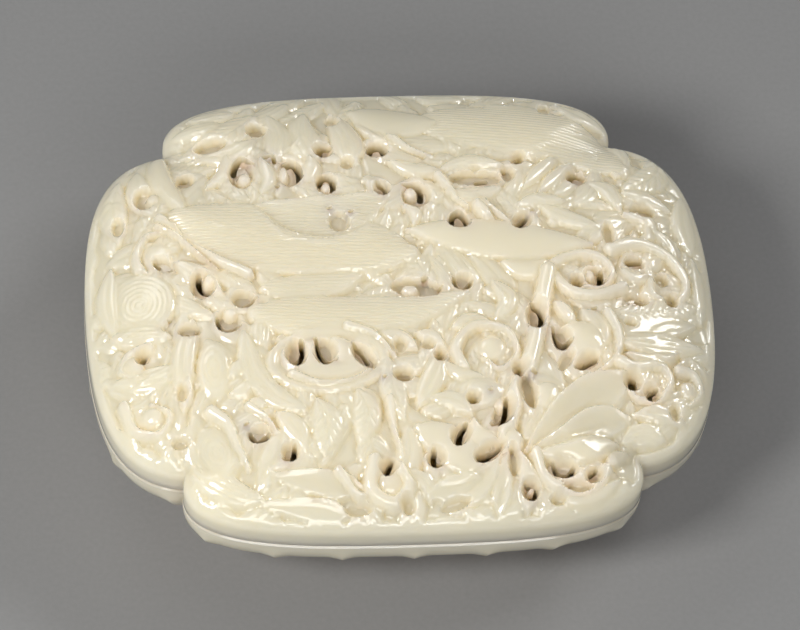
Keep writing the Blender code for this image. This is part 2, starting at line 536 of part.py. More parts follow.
def carving(x, y, edge):
    """How far the carved face stands above or below the dome, in metres, at plan points."""
    sx = x * SHEET_HALF_LENGTH / HALF_LENGTH
    sy = y * SHEET_HALF_DEPTH / HALF_DEPTH + SHEET_MIDDLE_Y
    relief = np.full(x.shape, -GROUND_DEPTH * 1000)
    forms = (background() + back_left() + left_end() + back_right() + right_end() + lower_edge() + bodies()
             + medallion() + lower_right() + pockets())
    for form in forms:
        margin = form.reach + 3.0
        low, high = form.points.min(axis=0) - margin, form.points.max(axis=0) + margin
        near = (sx > low[0]) & (sx < high[0]) & (sy > low[1]) & (sy < high[1])
        if not near.any():
            continue
        height, out = form.shape(sx[near], sy[near])
        if form.kind == "cut":
            relief[near] = np.minimum(relief[near], height)
        else:
            cover = 1 - smooth(out, -EDGE_SOFT, EDGE_SOFT)
            relief[near] += (height - relief[near]) * cover
    return relief * 0.001 * smooth(edge, BORDER_START, BORDER_END)


def lid_face(x, y, rim):
    edge = edge_distance(rim, x, y)
    return dome(edge) + carving(x, y, edge)


GRID = 0.0007                # spacing of the trial points from which the lid's corners are chosen
FINE_SPACING = 0.0011        # least distance between two corners
COARSE_SPACING = 0.0080      # first, even net of corners
ROUNDS = 9
LID_CORNERS = 2040


def interpolated(xy, z, faces, gx, gy):
    """Height of a triangle net at the nodes of an even grid, and nan outside it."""
    result = np.full(gx.shape, np.nan)
    x0, y0 = gx[0, 0], gy[0, 0]
    for face in faces:
        (ax, ay), (bx, by), (cx, cy) = xy[list(face)]
        area = (bx - ax) * (cy - ay) - (cx - ax) * (by - ay)
        if abs(area) < 1e-12:
            continue
        i0 = max(int((min(ax, bx, cx) - x0) / GRID), 0)
        i1 = int((max(ax, bx, cx) - x0) / GRID) + 2
        j0 = max(int((min(ay, by, cy) - y0) / GRID), 0)
        j1 = int((max(ay, by, cy) - y0) / GRID) + 2
        px, py = gx[j0:j1, i0:i1], gy[j0:j1, i0:i1]
        u = ((px - ax) * (cy - ay) - (cx - ax) * (py - ay)) / area
        v = ((bx - ax) * (py - ay) - (px - ax) * (by - ay)) / area
        inside = (u >= -1e-9) & (v >= -1e-9) & (u + v <= 1 + 1e-9)
        za, zb, zc = z[list(face)]
        patch = result[j0:j1, i0:i1]
        patch[inside] = (za + u * (zb - za) + v * (zc - za))[inside]
    return result


def spaced_out(candidates, taken, spacing, limit):
    """The first candidates that keep a distance from each other and from those already taken."""
    cells = {}
    for x, y in taken:
        cells.setdefault((int(x // spacing), int(y // spacing)), []).append((x, y))
    chosen = []
    for x, y in candidates:
        cx, cy = int(x // spacing), int(y // spacing)
        around = []
        for i in (cx - 1, cx, cx + 1):
            for j in (cy - 1, cy, cy + 1):
                around += cells.get((i, j), [])
        if all((x - qx) ** 2 + (y - qy) ** 2 >= spacing * spacing for qx, qy in around):
            cells.setdefault((cx, cy), []).append((x, y))
            chosen.append((x, y))
            if len(chosen) == limit:
                break
    return chosen


def chosen_points(rim, loops, limit):
    """Corners for the carved face, added round by round where the net still misses the carving most."""
    gx, gy = np.meshgrid(np.arange(-HALF_LENGTH, HALF_LENGTH + GRID, GRID),
                         np.arange(-HALF_DEPTH, HALF_DEPTH + GRID, GRID))
    edge = edge_distance(rim, gx, gy)
    height = dome(edge) + carving(gx, gy, edge)
    usable = edge > FINE_SPACING
    for loop in loops:
        low, high = loop.min(axis=0) - 0.002, loop.max(axis=0) + 0.002
        near = (gx > low[0]) & (gx < high[0]) & (gy > low[1]) & (gy < high[1])
        usable[near] &= edge_distance(loop, gx[near], gy[near]) < -0.6 * FINE_SPACING
    spots = np.column_stack([gx[usable], gy[usable]])
    target = height[usable]
    fixed = np.vstack([rim] + loops)
    corners = spaced_out(spots, fixed, COARSE_SPACING, limit)
    for n in range(1, ROUNDS + 1):
        faces = sheet_mesh(rim, loops, np.array(corners))
        xy = np.vstack([fixed, corners])
        z = lid_face(xy[:, 0], xy[:, 1], rim)
        miss = np.abs(interpolated(xy, z, faces, gx, gy)[usable] - target)
        order = np.argsort(-np.nan_to_num(miss), kind="stable")
        room = int(limit * n / ROUNDS) - len(corners)
        worst = spots[order[:len(order) // 3]]
        apart = spaced_out(worst, [], 2.2 * FINE_SPACING, len(worst))
        corners += spaced_out(apart, list(fixed) + corners, FINE_SPACING, max(room, 1))
    return np.array(corners)


def sheet_mesh(rim, loops, inner):
    """Triangles of a face bounded by rim and pierced by loops. Corners come back in the same order."""
    points = [Vector(p) for p in np.vstack([rim] + loops + [inner])]
    edges, start = [], 0
    for loop in [rim] + loops:
        count = len(loop)
        edges += [(start + i, start + (i + 1) % count) for i in range(count)]
        start += count
    verts, _, faces, origin, _, _ = delaunay_2d_cdt(points, edges, [], 1, 1e-7)
    back = {i: source[0] for i, source in enumerate(origin) if source}
    xy = np.array([tuple(v) for v in verts])
    centres = np.array([xy[list(f)].mean(axis=0) for f in faces])
    keep = edge_distance(rim, centres[:, 0], centres[:, 1]) > 0
    for loop in loops:
        keep &= edge_distance(loop, centres[:, 0], centres[:, 1]) < 0
    return [tuple(back[i] for i in face) for face, good in zip(faces, keep) if good]


def band(faces, lower, upper, count):
    """Quads between two rings of count corners, facing outwards when upper lies above lower."""
    for i in range(count):
        j = (i + 1) % count
        faces.append((lower + i, lower + j, upper + j, upper + i))


def new_object(name, vertices, faces, material):
    mesh = bpy.data.meshes.new(name)
    mesh.from_pydata([tuple(v) for v in vertices], [], faces)
    shape = bmesh.new()
    shape.from_mesh(mesh)
    bmesh.ops.triangulate(shape, faces=shape.faces[:])
    bmesh.ops.recalc_face_normals(shape, faces=shape.faces[:])
    shape.to_mesh(mesh)
    shape.free()
    mesh.materials.append(material)
    thing = bpy.data.objects.new(name, mesh)
    bpy.context.collection.objects.link(thing)
    return thing


def jade(name, colour, roughness):
    material = bpy.data.materials.new(name)
    material.use_nodes = True
    shader = material.node_tree.nodes["Principled BSDF"]
    shader.inputs["Base Color"].default_value = (*colour, 1.0)
    shader.inputs["Roughness"].default_value = roughness
    shader.inputs["Metallic"].default_value = 0.0
    return material


def make_lid():
    seam_z = BASE_HEIGHT + GAP
    rim_z = seam_z + LID_SIDE
    rim = outline(0.0)
    inner = outline(LID_WALL)
    loops = [stretch(slot_loop(*slot)) for slot in piercings()]
    corners = chosen_points(rim, loops, LID_CORNERS)
    count = len(rim)

    top_xy = np.vstack([rim] + loops + [corners])
    top_z = lid_face(top_xy[:, 0], top_xy[:, 1], rim)
    top_z[:count] = 0.0
    vertices = [(x, y, rim_z + z) for (x, y), z in zip(top_xy, top_z)]
    faces = list(sheet_mesh(rim, loops, corners))

    seam_outer = len(vertices)
    vertices += [(x, y, seam_z) for x, y in rim]
    seam_inner = len(vertices)
    vertices += [(x, y, seam_z) for x, y in inner]

    spaced = np.arange(-HALF_LENGTH, HALF_LENGTH, 0.0085)
    gx, gy = (g.ravel() for g in np.meshgrid(spaced, spaced))
    good = edge_distance(inner, gx, gy) > 0.003
    for loop in loops:
        good &= edge_distance(loop, gx, gy) < -0.0015
    under_inner = np.column_stack([gx[good], gy[good]])
    under_xy = np.vstack([inner] + loops + [under_inner])
    under_z = dome(edge_distance(rim, under_xy[:, 0], under_xy[:, 1])) - LID_THICKNESS
    under = len(vertices)
    vertices += [(x, y, rim_z + z) for (x, y), z in zip(under_xy, under_z)]
    faces += [tuple(under + i for i in reversed(face)) for face in sheet_mesh(inner, loops, under_inner)]

    band(faces, seam_outer, 0, count)
    band(faces, seam_inner, seam_outer, count)
    band(faces, under, seam_inner, count)
    top_start, under_start = count, under + count
    for loop in loops:
        band(faces, top_start, under_start, len(loop))
        top_start += len(loop)
        under_start += len(loop)
    return new_object("lid", vertices, faces, jade("lid jade", (0.79, 0.75, 0.62), 0.22))


def flank_inset(height):
    """How far the bowl's outside stands in from the rim, at a height above the ground."""
    start = BASE_HEIGHT - BASE_BAND
    share = (start - height) / (start - FOOT_HEIGHT)
    return FOOT_INSET * max(share, 0.0) ** BOWL_CURVE


def ridges(loop):
    """1 at the corners of a loop that carry an upright ridge, spaced evenly from the front middle, else 0."""
    steps = np.hypot(*(np.roll(loop, -1, axis=0) - loop).T)
    along = np.concatenate([[0.0], np.cumsum(steps)[:-1]])
    along -= along[np.argmin(loop[:, 1])]
    number = 4 * round(np.sum(steps) / RIDGE_PITCH / 4)
    share = np.zeros(len(loop))
    for k in range(number):
        away = along - k * np.sum(steps) / number
        away -= np.sum(steps) * np.round(away / np.sum(steps))
        share[np.argmin(np.abs(away))] = 1.0
    return share


def ridge_rise(level):
    """How far a ridge stands out, at a level that runs from 0 at the band to 1 at the foot."""
    return RIDGE_RISE * math.sin(math.pi * min(max(level, 0.0), 1.0)) ** 0.5


def outward(loop):
    ahead = np.roll(loop, -1, axis=0) - np.roll(loop, 1, axis=0)
    normal = np.column_stack([ahead[:, 1], -ahead[:, 0]])
    return normal / np.hypot(*normal.T)[:, None]


def make_base():
    rim = outline(0.0)
    count = len(rim)
    rings = [(outline(0.0), BASE_HEIGHT), (outline(0.0), BASE_HEIGHT - BASE_BAND)]
    on_ridge = ridges(rim)
    flank_rows = 5
    for i in range(1, flank_rows + 1):
        level = i / flank_rows
        height = BASE_HEIGHT - BASE_BAND - level * (BASE_HEIGHT - BASE_BAND - FOOT_HEIGHT)
        loop = outline(flank_inset(height))
        loop = loop + outward(loop) * ridge_rise(level) * on_ridge[:, None]
        rings.append((loop, height))
    rings.append((outline(FOOT_INSET), 0.0))
    rings.append((outline(FOOT_INSET + FOOT_WIDTH), 0.0))
    rings.append((outline(FOOT_INSET + FOOT_WIDTH), FOOT_RECESS))
    inside = LID_WALL + GAP
    cavity = inside + FLANGE_WIDTH
    floor_z = FOOT_RECESS + FLOOR_THICKNESS
    mouth = [(outline(inside), BASE_HEIGHT), (outline(inside), BASE_HEIGHT + FLANGE_HEIGHT),
             (outline(cavity), BASE_HEIGHT + FLANGE_HEIGHT)]
    wall_rows = 2
    for i in range(1, wall_rows + 1):
        height = BASE_HEIGHT - (BASE_HEIGHT - floor_z) * i / wall_rows
        mouth.append((outline(max(cavity, flank_inset(height) + BASE_WALL)), height))

    vertices, faces = [], []
    for loop, height in rings + mouth:
        vertices += [(x, y, height) for x, y in loop]
    for i in range(len(rings) - 1):
        band(faces, (i + 1) * count, i * count, count)
    first = len(rings) * count
    band(faces, 0, first, count)
    for i in range(len(mouth) - 1):
        band(faces, first + i * count, first + (i + 1) * count, count)
    faces.append(tuple(range(first - count, first)))
    faces.append(tuple(range(len(vertices) - count, len(vertices))))
    return new_object("base", vertices, faces, jade("base jade", (0.77, 0.74, 0.62), 0.22))


def main():
    clear_scene()
    make_lid()
    make_base()


main()
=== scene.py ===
"""Looks of the carved jade box: the finely carved lid and bowl, their stone, the floor, light and camera.

Units are metres, +Z is up, the front is -Y. The carving is drawn on a sheet in millimetres, as in the solid,
and the sheet is stretched over the plan of the box.
"""
import math
from collections import namedtuple

import bmesh
import bpy
import numpy as np
from mathutils import Matrix, Vector
from mathutils.geometry import delaunay_2d_cdt


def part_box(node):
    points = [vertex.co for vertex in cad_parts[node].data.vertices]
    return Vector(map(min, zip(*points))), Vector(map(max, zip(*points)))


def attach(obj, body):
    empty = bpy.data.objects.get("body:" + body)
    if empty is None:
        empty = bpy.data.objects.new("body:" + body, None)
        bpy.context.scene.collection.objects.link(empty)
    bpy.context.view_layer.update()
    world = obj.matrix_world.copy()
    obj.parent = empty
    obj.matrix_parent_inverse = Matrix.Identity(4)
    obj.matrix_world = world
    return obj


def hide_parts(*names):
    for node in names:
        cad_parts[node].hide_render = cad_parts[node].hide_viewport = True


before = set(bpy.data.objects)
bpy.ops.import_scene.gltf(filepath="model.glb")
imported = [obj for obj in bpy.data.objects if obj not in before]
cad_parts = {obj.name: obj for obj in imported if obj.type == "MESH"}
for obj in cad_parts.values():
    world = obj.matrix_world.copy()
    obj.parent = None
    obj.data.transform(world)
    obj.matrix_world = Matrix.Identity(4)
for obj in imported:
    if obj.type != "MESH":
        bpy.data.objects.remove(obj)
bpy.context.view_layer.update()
lid_low, lid_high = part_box("lid")
base_low, base_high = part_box("base")

# Sizes from the frame.
HALF_LENGTH = lid_high[0]
HALF_DEPTH = lid_high[1]
SEAM_Z = lid_low[2]
LID_TOP = lid_high[2]
FLANGE_TOP = base_high[2]

# Sizes that the solid has too.
GAP = 0.0003
NOTCH_X = 0.0503
NOTCH_Y = 0.0420
NOTCH_SHARE = 0.75
LID_SIDE = 0.0059            # upright band below the rim edge
LID_WALL = 0.0040
DOME_CROWN = 0.0093
DOME_REACH = 0.0340
EDGE_RISE = 0.0015
EDGE_REACH = 0.0012
LID_THICKNESS = 0.0052
BORDER_START = 0.0009          # the carving fades in over these distances from the edge
BORDER_END = 0.0021
BASE_BAND = 0.0012
FOOT_HEIGHT = 0.0026
FOOT_INSET = 0.0135
FOOT_WIDTH = 0.0030
FOOT_RECESS = 0.0012
BOWL_CURVE = 1.8
BASE_WALL = 0.0045
FLOOR_THICKNESS = 0.0045
FLANGE_WIDTH = 0.0020
RIDGE_PITCH = 0.0165
RIDGE_RISE = 0.0008
RIDGE_HALF = 0.0034          # half width of a ridge on the bowl
SOLID_STEP = 4               # the outline has this many corners for each of the solid's
BASE_HEIGHT = SEAM_Z - GAP
RIM_Z = SEAM_Z + LID_SIDE

SHEET_HALF_LENGTH = 70.0
SHEET_HALF_DEPTH = 57.6
SHEET_MIDDLE_Y = -1.1

# How finely the surfaces are cut up.
SIDE_POINTS = 48             # corners of each half end lobe
FACE_POINTS = 56             # corners of each half wide lobe
FINE = 0.00040               # spacing of corners on the carved face
HATCH_STEP = 0.8             # spacing of corners along a hatching line, in sheet millimetres
LINE_ROWS = 4                # rows of corners to each hatching line
UNDER_STEP = 0.0025          # spacing of corners under the lid
ROUND_OFF = 0.0004           # the softened edges
BOWL_ROWS = 24               # rows of corners up the bowl's outside and down its inside
CAVITY_ROWS = 14
SLOT_STEP = 0.55             # spacing of corners round a slot, in sheet millimetres


def bezier(p0, p1, p2, p3, count):
    """Points of a cubic curve, without its last one."""
    t = np.arange(count)[:, None] / count
    p0, p1, p2, p3 = (np.array(p) for p in (p0, p1, p2, p3))
    return (1 - t) ** 3 * p0 + 3 * (1 - t) ** 2 * t * p1 + 3 * (1 - t) * t * t * p2 + t ** 3 * p3


def outline(inset):
    """The plan at an inset from the widest edge, counter-clockwise from the right end."""
    a = HALF_LENGTH - inset
    nx = NOTCH_X - NOTCH_SHARE * inset
    ny = NOTCH_Y - NOTCH_SHARE * inset
    b = HALF_DEPTH - inset
    end = bezier((a, 0), (a, 0.69 * ny), (nx + 0.69 * (a - nx), 0.957 * ny), (nx, ny), SIDE_POINTS)
    face = bezier((nx, ny), (1.07 * nx, ny + 0.98 * (b - ny)), (0.5 * nx, b), (0, b), FACE_POINTS)
    quarter = np.vstack([end, face, [(0, b)]])
    half = np.vstack([quarter[:-1], (quarter * [-1, 1])[:0:-1]])
    return np.vstack([half, -half])


def edge_distance(loop, x, y):
    """Distance of points from a closed loop, positive inside it."""
    best = np.full(x.shape, 1e9)
    inside = np.zeros(x.shape, bool)
    for (ax, ay), (bx, by) in zip(loop, np.roll(loop, -1, axis=0)):
        dx, dy = bx - ax, by - ay
        t = np.clip(((x - ax) * dx + (y - ay) * dy) / (dx * dx + dy * dy), 0, 1)
        best = np.minimum(best, np.hypot(x - ax - t * dx, y - ay - t * dy))
        if ay != by:
            crosses = ((ay > y) != (by > y)) & (x < dx * (y - ay) / dy + ax)
            inside ^= crosses
    return np.where(inside, best, -best)


def dome(d):
    """Height of the uncarved lid above its rim edge, by distance from the edge."""
    d = np.maximum(d, 0)
    border = EDGE_RISE * (1 - np.exp(-d / EDGE_REACH))
    return border + DOME_CROWN * (1 - (1 - np.minimum(d / DOME_REACH, 1)) ** 2.2)


def smooth(value, low, high):
    """A soft step from 0 at low to 1 at high."""
    t = np.clip((value - low) / (high - low), 0, 1)
    return t * t * (3 - 2 * t)


def stroke(x, y, heading, length, turn, steps=12):
    """A stroke that leaves (x, y) at a heading in degrees and turns evenly by so many degrees on its way."""
    points = [(x, y)]
    for i in range(steps):
        angle = math.radians(heading + turn * (i + 0.5) / steps)
        x += length / steps * math.cos(angle)
        y += length / steps * math.sin(angle)
        points.append((x, y))
    return np.array(points)


# The carving. Every form lies along a smooth stroke through a few points of the sheet, and is laid over the
# forms before it, with a fine groove round its edge.

def curve(*points):
    """A smooth stroke through a few points."""
    p = np.array(points, float)
    if len(p) == 2:
        return p[0] + np.linspace(0, 1, 5)[:, None] * (p[1] - p[0])
    ends = np.vstack([2 * p[0] - p[1], p, 2 * p[-1] - p[-2]])
    t = np.arange(5)[:, None] / 5
    pieces = [0.5 * (2 * b + (c - a) * t + (2 * a - 5 * b + 4 * c - d) * t ** 2
                     + (3 * b - a - 3 * c + d) * t ** 3)
              for a, b, c, d in zip(ends, ends[1:], ends[2:], ends[3:])]
    return np.vstack(pieces + [p[-1:]])


def measure(points, x, y):
    """Distance of (x, y) from a stroke, the length along it, and its side, +1 to the left."""
    best = np.full(x.shape, 1e9)
    along = np.zeros(x.shape)
    side = np.ones(x.shape)
    done = 0.0
    for (ax, ay), (bx, by) in zip(points, points[1:]):
        dx, dy = bx - ax, by - ay
        length = math.hypot(dx, dy)
        t = np.clip(((x - ax) * dx + (y - ay) * dy) / length ** 2, 0, 1)
        d = np.hypot(x - ax - t * dx, y - ay - t * dy)
        near = d < best
        best = np.where(near, d, best)
        along = np.where(near, done + t * length, along)
        side = np.where(near, np.sign(dx * (y - ay) - dy * (x - ax)), side)
        done += length
    return best, along, side


def as_stroke(points):
    return points if isinstance(points, np.ndarray) else curve(*points)


def stroke_length(points):
    return float(np.sum(np.hypot(*np.diff(points, axis=0).T)))


# A form: its height and its distance outside its own edge, the stroke it runs along, its reach and its
# hatching.
Form = namedtuple("Form", "kind shape points reach hatch")

# How the half width of a form runs along its length, from 0 to 1.
PROFILES = {
    "leaf": lambda s: np.sin(math.pi * np.clip(s, 0.01, 0.99)) ** 0.7,
    "petal": lambda s: np.sin(math.pi * np.clip(s, 0.02, 0.99) ** 1.7) ** 0.55,
    "drop": lambda s: np.sin(math.pi * np.clip(s, 0.02, 0.99) ** 0.6) ** 0.6,
    "lobe": lambda s: np.sin(math.pi * np.clip(s, 0.01, 0.99)) ** 0.4,
    "band": lambda s: np.full(s.shape, 1.0),
    "taper": lambda s: 1.0 - 0.75 * s,
}
LINE_SHARP = 4.0             # how narrow a cut line is beside the ridge next to it
VEIN_SLANT = 1.1             # how far a side vein runs along for each millimetre across
MIDDLE_VEIN = 0.28           # half width of a leaf's middle vein
RING_PITCH = 1.1
RING_DEPTH = 0.16
STEM_ROUND = 0.75            # height of a stem for its half width
POCKET_DEPTH = 2.3
POCKET_SLOPE = 2.2
POCKET_WALL = 0.35           # share of a pocket's radius that its sloping wall takes
RIDGE_LINE = (1.0, 0.35)     # width and height of the fine ridges, and of the cut lines
CUT_LINE = (0.9, -0.35)

# Cut lines that come back often: their kind, their pitch or width, and their depth.
FOLD = ("fold", 0.6, 0.25)
DEEP_FOLD = ("fold", 0.6, 0.3)
FINE_FOLD = ("fold", 0.5, 0.3)
RIBS = ("ribs", 1.2, 0.2)
VEINS = ("veins", 2.2, 0.22)
DEEP_VEINS = ("veins", 2.2, 0.25)


def cut_line(phase):
    """Depth from 0 to 1 of a row of cut lines, one at every whole phase."""
    return (0.5 + 0.5 * np.cos(2 * math.pi * phase)) ** LINE_SHARP


def lines_on(kind, along, across):
    """Cut lines on a leaf: veins that branch from its middle, ribs that run with it, or a single fold."""
    name, pitch, depth = kind
    if name == "veins":
        away = np.abs(across)
        side_veins = cut_line((along - VEIN_SLANT * away) / pitch) * smooth(away, 0.1, 0.5)
        middle = np.exp(-(across / MIDDLE_VEIN) ** 2)
        return depth * np.maximum(side_veins, 1.3 * middle)
    if name == "ribs":
        return depth * cut_line(across / pitch)
    return depth * np.exp(-(across / pitch) ** 2)


def leaf(points, width, level=0.0, crown=0.4, shape="leaf", tilt=0.0, lines=None, hatch=0):
    """A leaf, petal or feather. A negative crown scoops it out, and tilt lifts its left edge."""
    path = as_stroke(points)
    length = stroke_length(path)

    def form(px, py):
        d, along, side = measure(path, px, py)
        half = np.maximum(0.5 * width * PROFILES[shape](along / length), 0.05)
        across = np.minimum(d / half, 1)
        height = level + crown * (1 - across ** 2) + tilt * side * across
        if lines:
            height = height - lines_on(lines, along, d * side) * (1 - across ** 8)
        return height, d - half
    return Form("over", form, path, 0.5 * width, hatch)


def vine(points, radius, level=0.0, shape="taper"):
    """A rounded stem or ridge."""
    path = as_stroke(points)
    length = stroke_length(path)

    def form(px, py):
        d, along, _ = measure(path, px, py)
        half = np.maximum(radius * PROFILES[shape](along / length), 0.05)
        return level + STEM_ROUND * np.sqrt(np.maximum(half ** 2 - d ** 2, 0)), d - half
    return Form("over", form, path, radius, 0)


def oval(x, y, rx, ry, angle, px, py):
    """Share of an oval's radius at which a point lies, and its distance outside the oval."""
    c, s = math.cos(math.radians(angle)), math.sin(math.radians(angle))
    u = (px - x) * c + (py - y) * s
    v = -(px - x) * s + (py - y) * c
    r = np.maximum(np.hypot(u / rx, v / ry), 1e-6)
    return r, (1 - 1 / r) * np.hypot(u, v)


def boss(x, y, rx, ry=None, level=0.0, crown=0.5, angle=0.0, rings=False):
    """A rounded or, with a negative crown, dished button. It can carry rings of cut lines."""
    ry = ry or rx

    def form(px, py):
        r, out = oval(x, y, rx, ry, angle, px, py)
        height = level + crown * (1 - np.minimum(r, 1) ** 2)
        if rings:
            height = height - RING_DEPTH * cut_line(r * min(rx, ry) / RING_PITCH)
        return height, out
    return Form("over", form, np.array([(x, y)]), max(rx, ry), 0)


def pocket(x, y, rx, ry=None, angle=0.0, depth=POCKET_DEPTH):
    """A cut with steep walls, in which piercings sit."""
    ry = ry or rx

    def form(px, py):
        _, out = oval(x, y, rx, ry, angle, px, py)
        return -depth + POCKET_SLOPE * np.maximum(out + POCKET_WALL * min(rx, ry), 0), out
    return Form("cut", form, np.array([(x, y)]), max(rx, ry), 0)


def line(points, width, height):
    """A fine ridge, or with a negative height a cut line, that thins out towards its ends."""
    path = as_stroke(points)
    length = stroke_length(path)

    def form(px, py):
        d, along, _ = measure(path, px, py)
        fade = np.sin(math.pi * np.clip(along / length, 0.03, 0.97)) ** 0.5
        return height * fade * np.exp(-(d / (0.5 * width)) ** 2), d
    return Form("add", form, path, 1.5 * width, 0)


# The small leaves of the ground, drawn at random from a fixed seed.
FILL_SEED = 11
FILL_STEP_X = 8.5            # spacing of the leaves that cover the ground, along a row and from row to row
FILL_STEP_Y = 6.0
FILL_BACK = 57.0             # the first and the last row
FILL_FRONT = -63.0
FILL_LENGTH = (12, 18)
FILL_WIDTH = (4.6, 7.2)
FILL_LEVEL = (-0.5, -0.1)
FILL_CROWN = 0.45
FILL_LINES = (("fold", 0.5, 0.28), ("ribs", 1.25, 0.2), ("veins", 1.9, 0.24))


def background():
    """Leaves that cover the ground between the main forms, laid over each other from back to front."""
    chance = np.random.default_rng(FILL_SEED)
    leaves = []
    for row, y in enumerate(np.arange(FILL_BACK, FILL_FRONT, -FILL_STEP_Y)):
        first = 0.5 * FILL_STEP_X * (row % 2) - SHEET_HALF_LENGTH
        for x in np.arange(first, SHEET_HALF_LENGTH + 4.0, FILL_STEP_X):
            drift = 70 * math.sin(x / 19) + 60 * math.cos(y / 15 + x / 40)
            bend = stroke(x + chance.uniform(-2, 2), y + chance.uniform(-1.5, 1.5),
                          drift + chance.uniform(-35, 35), chance.uniform(*FILL_LENGTH),
                          chance.uniform(-80, 80))
            leaves.append(leaf(bend, chance.uniform(*FILL_WIDTH), chance.uniform(*FILL_LEVEL), FILL_CROWN,
                               "drop", chance.uniform(-0.2, 0.2), FILL_LINES[int(chance.integers(3))]))
    return leaves


# The broad feathered bodies in the middle and at the back right.
BODIES = [
    leaf(((6, 44.5), (22, 42.5), (38, 39.5), (52, 31)), 15, 0.1, 0.6, "lobe", hatch=4),
    leaf(((-8, 48), (2, 44), (10, 44)), 9, 0.2, 0.5, "lobe"),
    leaf(((-49, 19), (-34, 13), (-16, 10), (2, 7)), 18, 0.3, 0.8, "lobe", hatch=1),
    leaf(((-31, -1.5), (-20, -1), (-10, 1)), 7, 0.2, 0.3, "lobe", hatch=2),
    leaf(((-32, -8), (-16, -9.5), (0, -8.5), (14, -4)), 11, 0.3, 0.6, "drop", hatch=3),
    leaf(((-31, 20.5), (-22, 17.5), (-12, 17.5), (-2, 23)), 11, 0.5, -0.5, "leaf", 0.3, hatch=1),
    leaf(((2, 13), (14, 11.5), (28, 9), (43, 8)), 10, 0.4, 0.6),
    leaf(((-36, -13), (-34.5, -22), (-30, -29), (-24, -33)), 5.5, 0.3, 0.3, "lobe",
         lines=("ribs", 1.5, 0.22)),
]

BACK_LEFT = [
    leaf(((-52, 41), (-52, 31), (-47.5, 20)), 5, 0.3, 0.5, "lobe", 0.2),
    leaf(((-45, 49), (-40, 49.5), (-34, 50)), 5, 0, lines=RIBS),
    leaf(((-49, 44), (-42, 45), (-35, 45.5)), 5, 0.1, 0.3, lines=RIBS),
    leaf(((-31, 47), (-38, 41), (-47, 38)), 8, 0.3, 0.4, "drop", 0.2, lines=DEEP_VEINS),
    leaf(((-30, 40), (-36, 36), (-43, 36.5)), 5, 0.4, 0.3, lines=DEEP_FOLD),
    leaf(((-18, 34), (-20, 41), (-19, 48)), 8, 0.3, 0.4, "drop", -0.2, lines=("ribs", 1.6, 0.16)),
    leaf(((-26, 35), (-25, 41), (-27, 48)), 6, 0.1, 0.4, "drop", lines=("ribs", 1.4, 0.18)),
    leaf(((-9, 33), (-10, 40), (-13, 48)), 7, 0.2, 0.4, "drop", lines=("ribs", 1.5, 0.16)),
    leaf(((-5, 50), (-5, 44), (-1, 38)), 5, 0.3, lines=FINE_FOLD),
    leaf(((-42, 27), (-38, 31), (-37, 36)), 3.4, 0.4),
    leaf(((-30, 24), (-28, 28), (-29.5, 34)), 3, 0.4),
    leaf(((-21, 26), (-18.5, 30), (-18.5, 34)), 3.4, 0.4),
    leaf(((-61, 33), (-63, 26), (-62, 15)), 6, 0.1, 0.5, lines=("veins", 2.4, 0.2)),
    leaf(((-57, 35), (-57, 28), (-54, 20)), 5.5, 0.2, 0.3, lines=FOLD),
    vine(((-53, 19), (-49, 15.8), (-44, 10.5), (-40, 6), (-34, 2.4)), 1.1, 0.9, "band"),
    vine(((-53.5, 17), (-49.5, 13.8), (-45, 8.5), (-41, 4.2)), 0.8, 0.8),
]

LEFT_END = [
    vine(((-57.5, 5), (-58.5, 10), (-56, 15), (-51.5, 15)), 1.3, 0.5),
    boss(-54, 9, 3, 3.4, 0.2, 0.4),
    boss(-58.5, -3, 8, 8.5, 0.1, rings=True),
    leaf(((-64, 9), (-65.5, 0), (-64, -9)), 4.5, 0.1, 0.5, lines=FOLD),
    leaf(((-50, 7), (-45.5, 3), (-40, -3)), 5, 0.4, 0.5, lines=RIBS),
    leaf(((-52, -12), (-58, -11), (-65, -9.5)), 6, 0.2, lines=("ribs", 1.4, 0.22)),
    leaf(((-50, -20), (-57, -22), (-65, -21)), 6, 0.2, lines=("ribs", 1.4, 0.22)),
    vine(((-57, -14), (-61.5, -15), (-63, -19), (-59, -21)), 1.1, 0.6),
    boss(-60.5, -18, 2.3, 2.3, 0.4),
    leaf(((-47, -9), (-49.5, -18), (-50, -28)), 5, 0.3, 0.4, "lobe", lines=DEEP_FOLD),
    boss(-43, -21.5, 3.6, 7, 0.1, rings=True),
    leaf(((-48.5, -23), (-50, -31)), 2.6, 0.6),
    vine(((-63, -27), (-61, -33), (-55.5, -35), (-53, -31), (-57, -28)), 1.3, 0.5),
    boss(-57, -31, 2.2, 2, 0.4, 0.4),
    leaf(((-49, -37), (-47, -44), (-40, -50), (-34, -52)), 6, 0.2, 0.4, "lobe", lines=("ribs", 1.3, 0.25)),
    boss(-43.5, -40.5, 4, 6.2, 0.1, 0.4, 20, rings=True),
    vine(((-44, -31.5), (-40.7, -34.5), (-38.8, -40), (-36.5, -45.5)), 1.5, 0.6),
    leaf(((-40, -24), (-37.5, -21), (-36, -19)), 3, 0.3),
    leaf(((-40, -28), (-37, -27), (-35, -24.5)), 3.4, 0.4),
    leaf(((-36, -30), (-34, -30.5), (-32, -31)), 3.4, 0.4),
    vine(((-36, -31), (-32, -34.5), (-30, -38)), 0.9, 0.5),
    boss(-33.6, -36.6, 1.8, 1.6, 0.4, 0.4),
]

